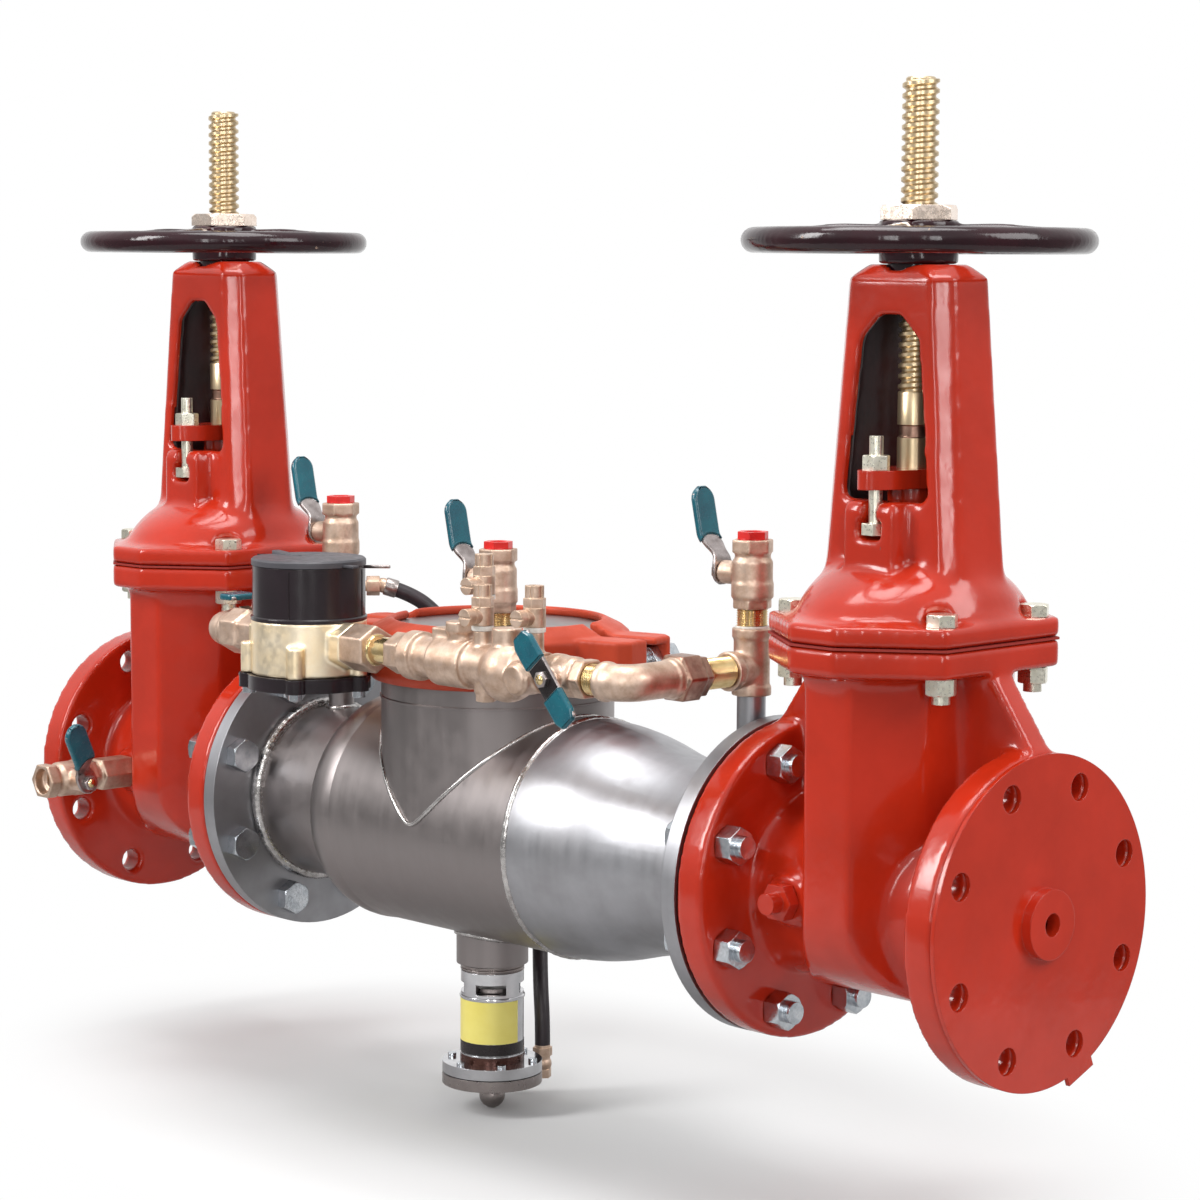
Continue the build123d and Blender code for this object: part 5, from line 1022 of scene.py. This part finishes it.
class BACKFLOW_OT_studio(bpy.types.Operator):
    """Sets up the pale floor, the white room and the soft lamps"""
    bl_idname = "backflow.studio"
    bl_label = "Studio"

    def execute(self, context):
        studio = context.scene.backflow_studio
        scene = context.scene
        mesh = bmesh.new()
        bmesh.ops.create_circle(mesh, cap_ends=True, segments=96, radius=studio.floor_radius)
        bmesh.ops.translate(mesh, verts=mesh.verts, vec=(CENTRE * MM, 0, FLOOR_Z * MM))
        data = bpy.data.meshes.new("studio_floor")
        mesh.to_mesh(data)
        mesh.free()
        floor = bpy.data.objects.new("studio_floor", data)
        scene.collection.objects.link(floor)
        # Paper that runs out into the white of the backdrop well before its rim
        mat = new_material("studio_paper")
        white = add(mat, "Emission", {"Color": (1, 1, 1, 1), "Strength": 1.0})
        place = add(mat, "TexCoord", out="Object")
        fade_start, fade_end, squeeze = 0.22, 0.38, (0.62, 1, 1)
        centred = add(mat, "VectorMath", {"operation": "SUBTRACT", 0: place, 1: (CENTRE * MM, 0.03, FLOOR_Z * MM)})
        oval = add(mat, "VectorMath", {"operation": "MULTIPLY", 0: centred, 1: squeeze})
        away = add(mat, "VectorMath", {"operation": "LENGTH", 0: oval}, "Value")
        fade = add(mat, "MapRange", {"interpolation_type": "SMOOTHSTEP", "Value": away, 1: fade_start, 2: fade_end})
        ray = add(mat, "LightPath").node.outputs
        seen = add(mat, "Math", {"operation": "MAXIMUM", 0: ray["Is Camera Ray"], 1: ray["Is Transmission Ray"]})
        faded = add(mat, "Math", {"operation": "MULTIPLY", 0: seen, 1: fade})
        # The camera sees a paler paper than the one that lights the object from below
        shade = add(mat, "Mix", {"data_type": "RGBA", 0: seen, 6: linear("B4B4B4"), 7: tuple(studio.floor_colour)}, 2)
        paper = add(mat, "BsdfDiffuse", {"Color": shade})
        both = add(mat, "MixShader", {0: faded, 1: paper, 2: white})
        add(mat, "OutputMaterial", {"Surface": both})
        data.materials.append(mat)
        world = bpy.data.worlds.new("room")
        scene.world = world
        world.use_nodes = True
        world.node_tree.nodes.clear()
        # The camera sees plain white. The object is lit by, and bare metal mirrors, a white sweep behind it and
        # darker walls, which are mirror_gain times brighter in a mirror than as a light.
        place = add(world, "TexCoord", out="Generated")
        height = add(world, "SeparateXYZ", {0: place}, "Z")
        level = add(world, "MapRange", {"Value": height, 1: -1.0, 2: 1.0})
        ray = add(world, "LightPath").node.outputs
        walls = add(world, "ValToRGB", {"stops": ((0.0, 0.1), (0.5, 0.14), (0.66, 0.32), (1.0, 0.55)), "Fac": level})
        gain = add(world, "MapRange", {"Value": ray["Is Glossy Ray"], 3: 1.0, 4: studio.mirror_gain})
        walls = add(world, "Math", {"operation": "MULTIPLY", "use_clamp": True, 0: walls, 1: gain})
        behind = add(world, "VectorMath", {"operation": "DOT_PRODUCT", 0: place, 1: (-0.715, 0.699, 0.0)}, "Value")
        sweep = add(world, "MapRange", {"interpolation_type": "SMOOTHSTEP", "Value": behind, 1: 0.35, 2: 0.8})
        room = add(world, "Mix", {"data_type": "RGBA", 0: sweep, 6: walls, 7: (1, 1, 1, 1)}, 2)
        light = add(world, "Background", {"Color": room, "Strength": studio.room_strength})
        white = add(world, "Background", {"Color": (1, 1, 1, 1), "Strength": 1.0})
        seen = add(world, "Math", {"operation": "MAXIMUM", 0: ray["Is Camera Ray"], 1: ray["Is Transmission Ray"]})
        mixed = add(world, "MixShader", {0: seen, 1: light, 2: white})
        add(world, "OutputWorld", {"Surface": mixed})
        # Each lamp: its direction from the aim, distance, width and height in metres, and power
        aim = Vector((CENTRE * MM, 0, 0.1))
        for name, way, distance, width, height, power in (
                ("key", (-0.39, -0.75, 0.545), 2.3, 0.55, 1.3, studio.key_power),
                ("side", (0.85, 0.2, 0.48), 2.4, 1.1, 1.3, studio.fill_power),
                ("front right", (0.785, -0.562, 0.26), 2.97, 0.25, 1.4, studio.front_power),
                ("front left", (0.49, -0.835, 0.254), 2.75, 0.25, 1.4, studio.front_power),
                ("top", (0.0, -0.02, 1.0), 2.3, 1.7, 1.1, studio.top_power)):
            lamp = bpy.data.lights.new(name, "AREA")
            lamp.shape = "RECTANGLE"
            lamp.size, lamp.size_y = width, height
            lamp.energy = power
            obj = bpy.data.objects.new(name, lamp)
            scene.collection.objects.link(obj)
            way = Vector(way).normalized()
            obj.location = aim + way * distance
            obj.rotation_mode = "QUATERNION"
            obj.rotation_quaternion = (-way).to_track_quat("-Z", "Y")
        scene.view_settings.view_transform = "Standard"
        return {"FINISHED"}


OPERATORS = (BACKFLOW_OT_camera, BACKFLOW_OT_hose, BACKFLOW_OT_castings, BACKFLOW_OT_wheels, BACKFLOW_OT_stems,
             BACKFLOW_OT_handles, BACKFLOW_OT_bronze, BACKFLOW_OT_threads, BACKFLOW_OT_welds, BACKFLOW_OT_relief,
             BACKFLOW_OT_meter, BACKFLOW_OT_finishes, BACKFLOW_OT_studio)
GROUPS = {"backflow_hose": BACKFLOW_PG_hose, "backflow_castings": BACKFLOW_PG_castings,
          "backflow_handles": BACKFLOW_PG_handles, "backflow_threads": BACKFLOW_PG_threads,
          "backflow_welds": BACKFLOW_PG_welds, "backflow_bronze": BACKFLOW_PG_bronze,
          "backflow_studio": BACKFLOW_PG_studio}


class BACKFLOW_PT_panel(bpy.types.Panel):
    """Lists the steps that dress the assembly, with their sizes and colours"""
    bl_idname = "BACKFLOW_PT_panel"
    bl_label = "Backflow assembly"
    bl_space_type = "VIEW_3D"
    bl_region_type = "UI"
    bl_category = "Backflow"

    def draw(self, context):
        for group in GROUPS:
            box = self.layout.box()
            settings = getattr(context.scene, group)
            for name in settings.__annotations__:
                box.prop(settings, name)
        for operator in OPERATORS:
            self.layout.operator(operator.bl_idname)


def register():
    for group in GROUPS.values():
        bpy.utils.register_class(group)
    for name, group in GROUPS.items():
        setattr(bpy.types.Scene, name, bpy.props.PointerProperty(type=group))
    for operator in OPERATORS:
        bpy.utils.register_class(operator)
    bpy.utils.register_class(BACKFLOW_PT_panel)


def unregister():
    bpy.utils.unregister_class(BACKFLOW_PT_panel)
    for operator in reversed(OPERATORS):
        bpy.utils.unregister_class(operator)
    for name, group in GROUPS.items():
        delattr(bpy.types.Scene, name)
        bpy.utils.unregister_class(group)


def main():
    register()
    bpy.ops.backflow.camera()
    bpy.ops.backflow.hose()
    bpy.ops.backflow.castings()
    bpy.ops.backflow.wheels()
    bpy.ops.backflow.stems()
    bpy.ops.backflow.handles()
    bpy.ops.backflow.bronze()
    bpy.ops.backflow.threads()
    bpy.ops.backflow.welds()
    bpy.ops.backflow.relief()
    bpy.ops.backflow.meter()
    bpy.ops.backflow.finishes()
    bpy.ops.backflow.studio()


if __name__ == "__main__":
    main()
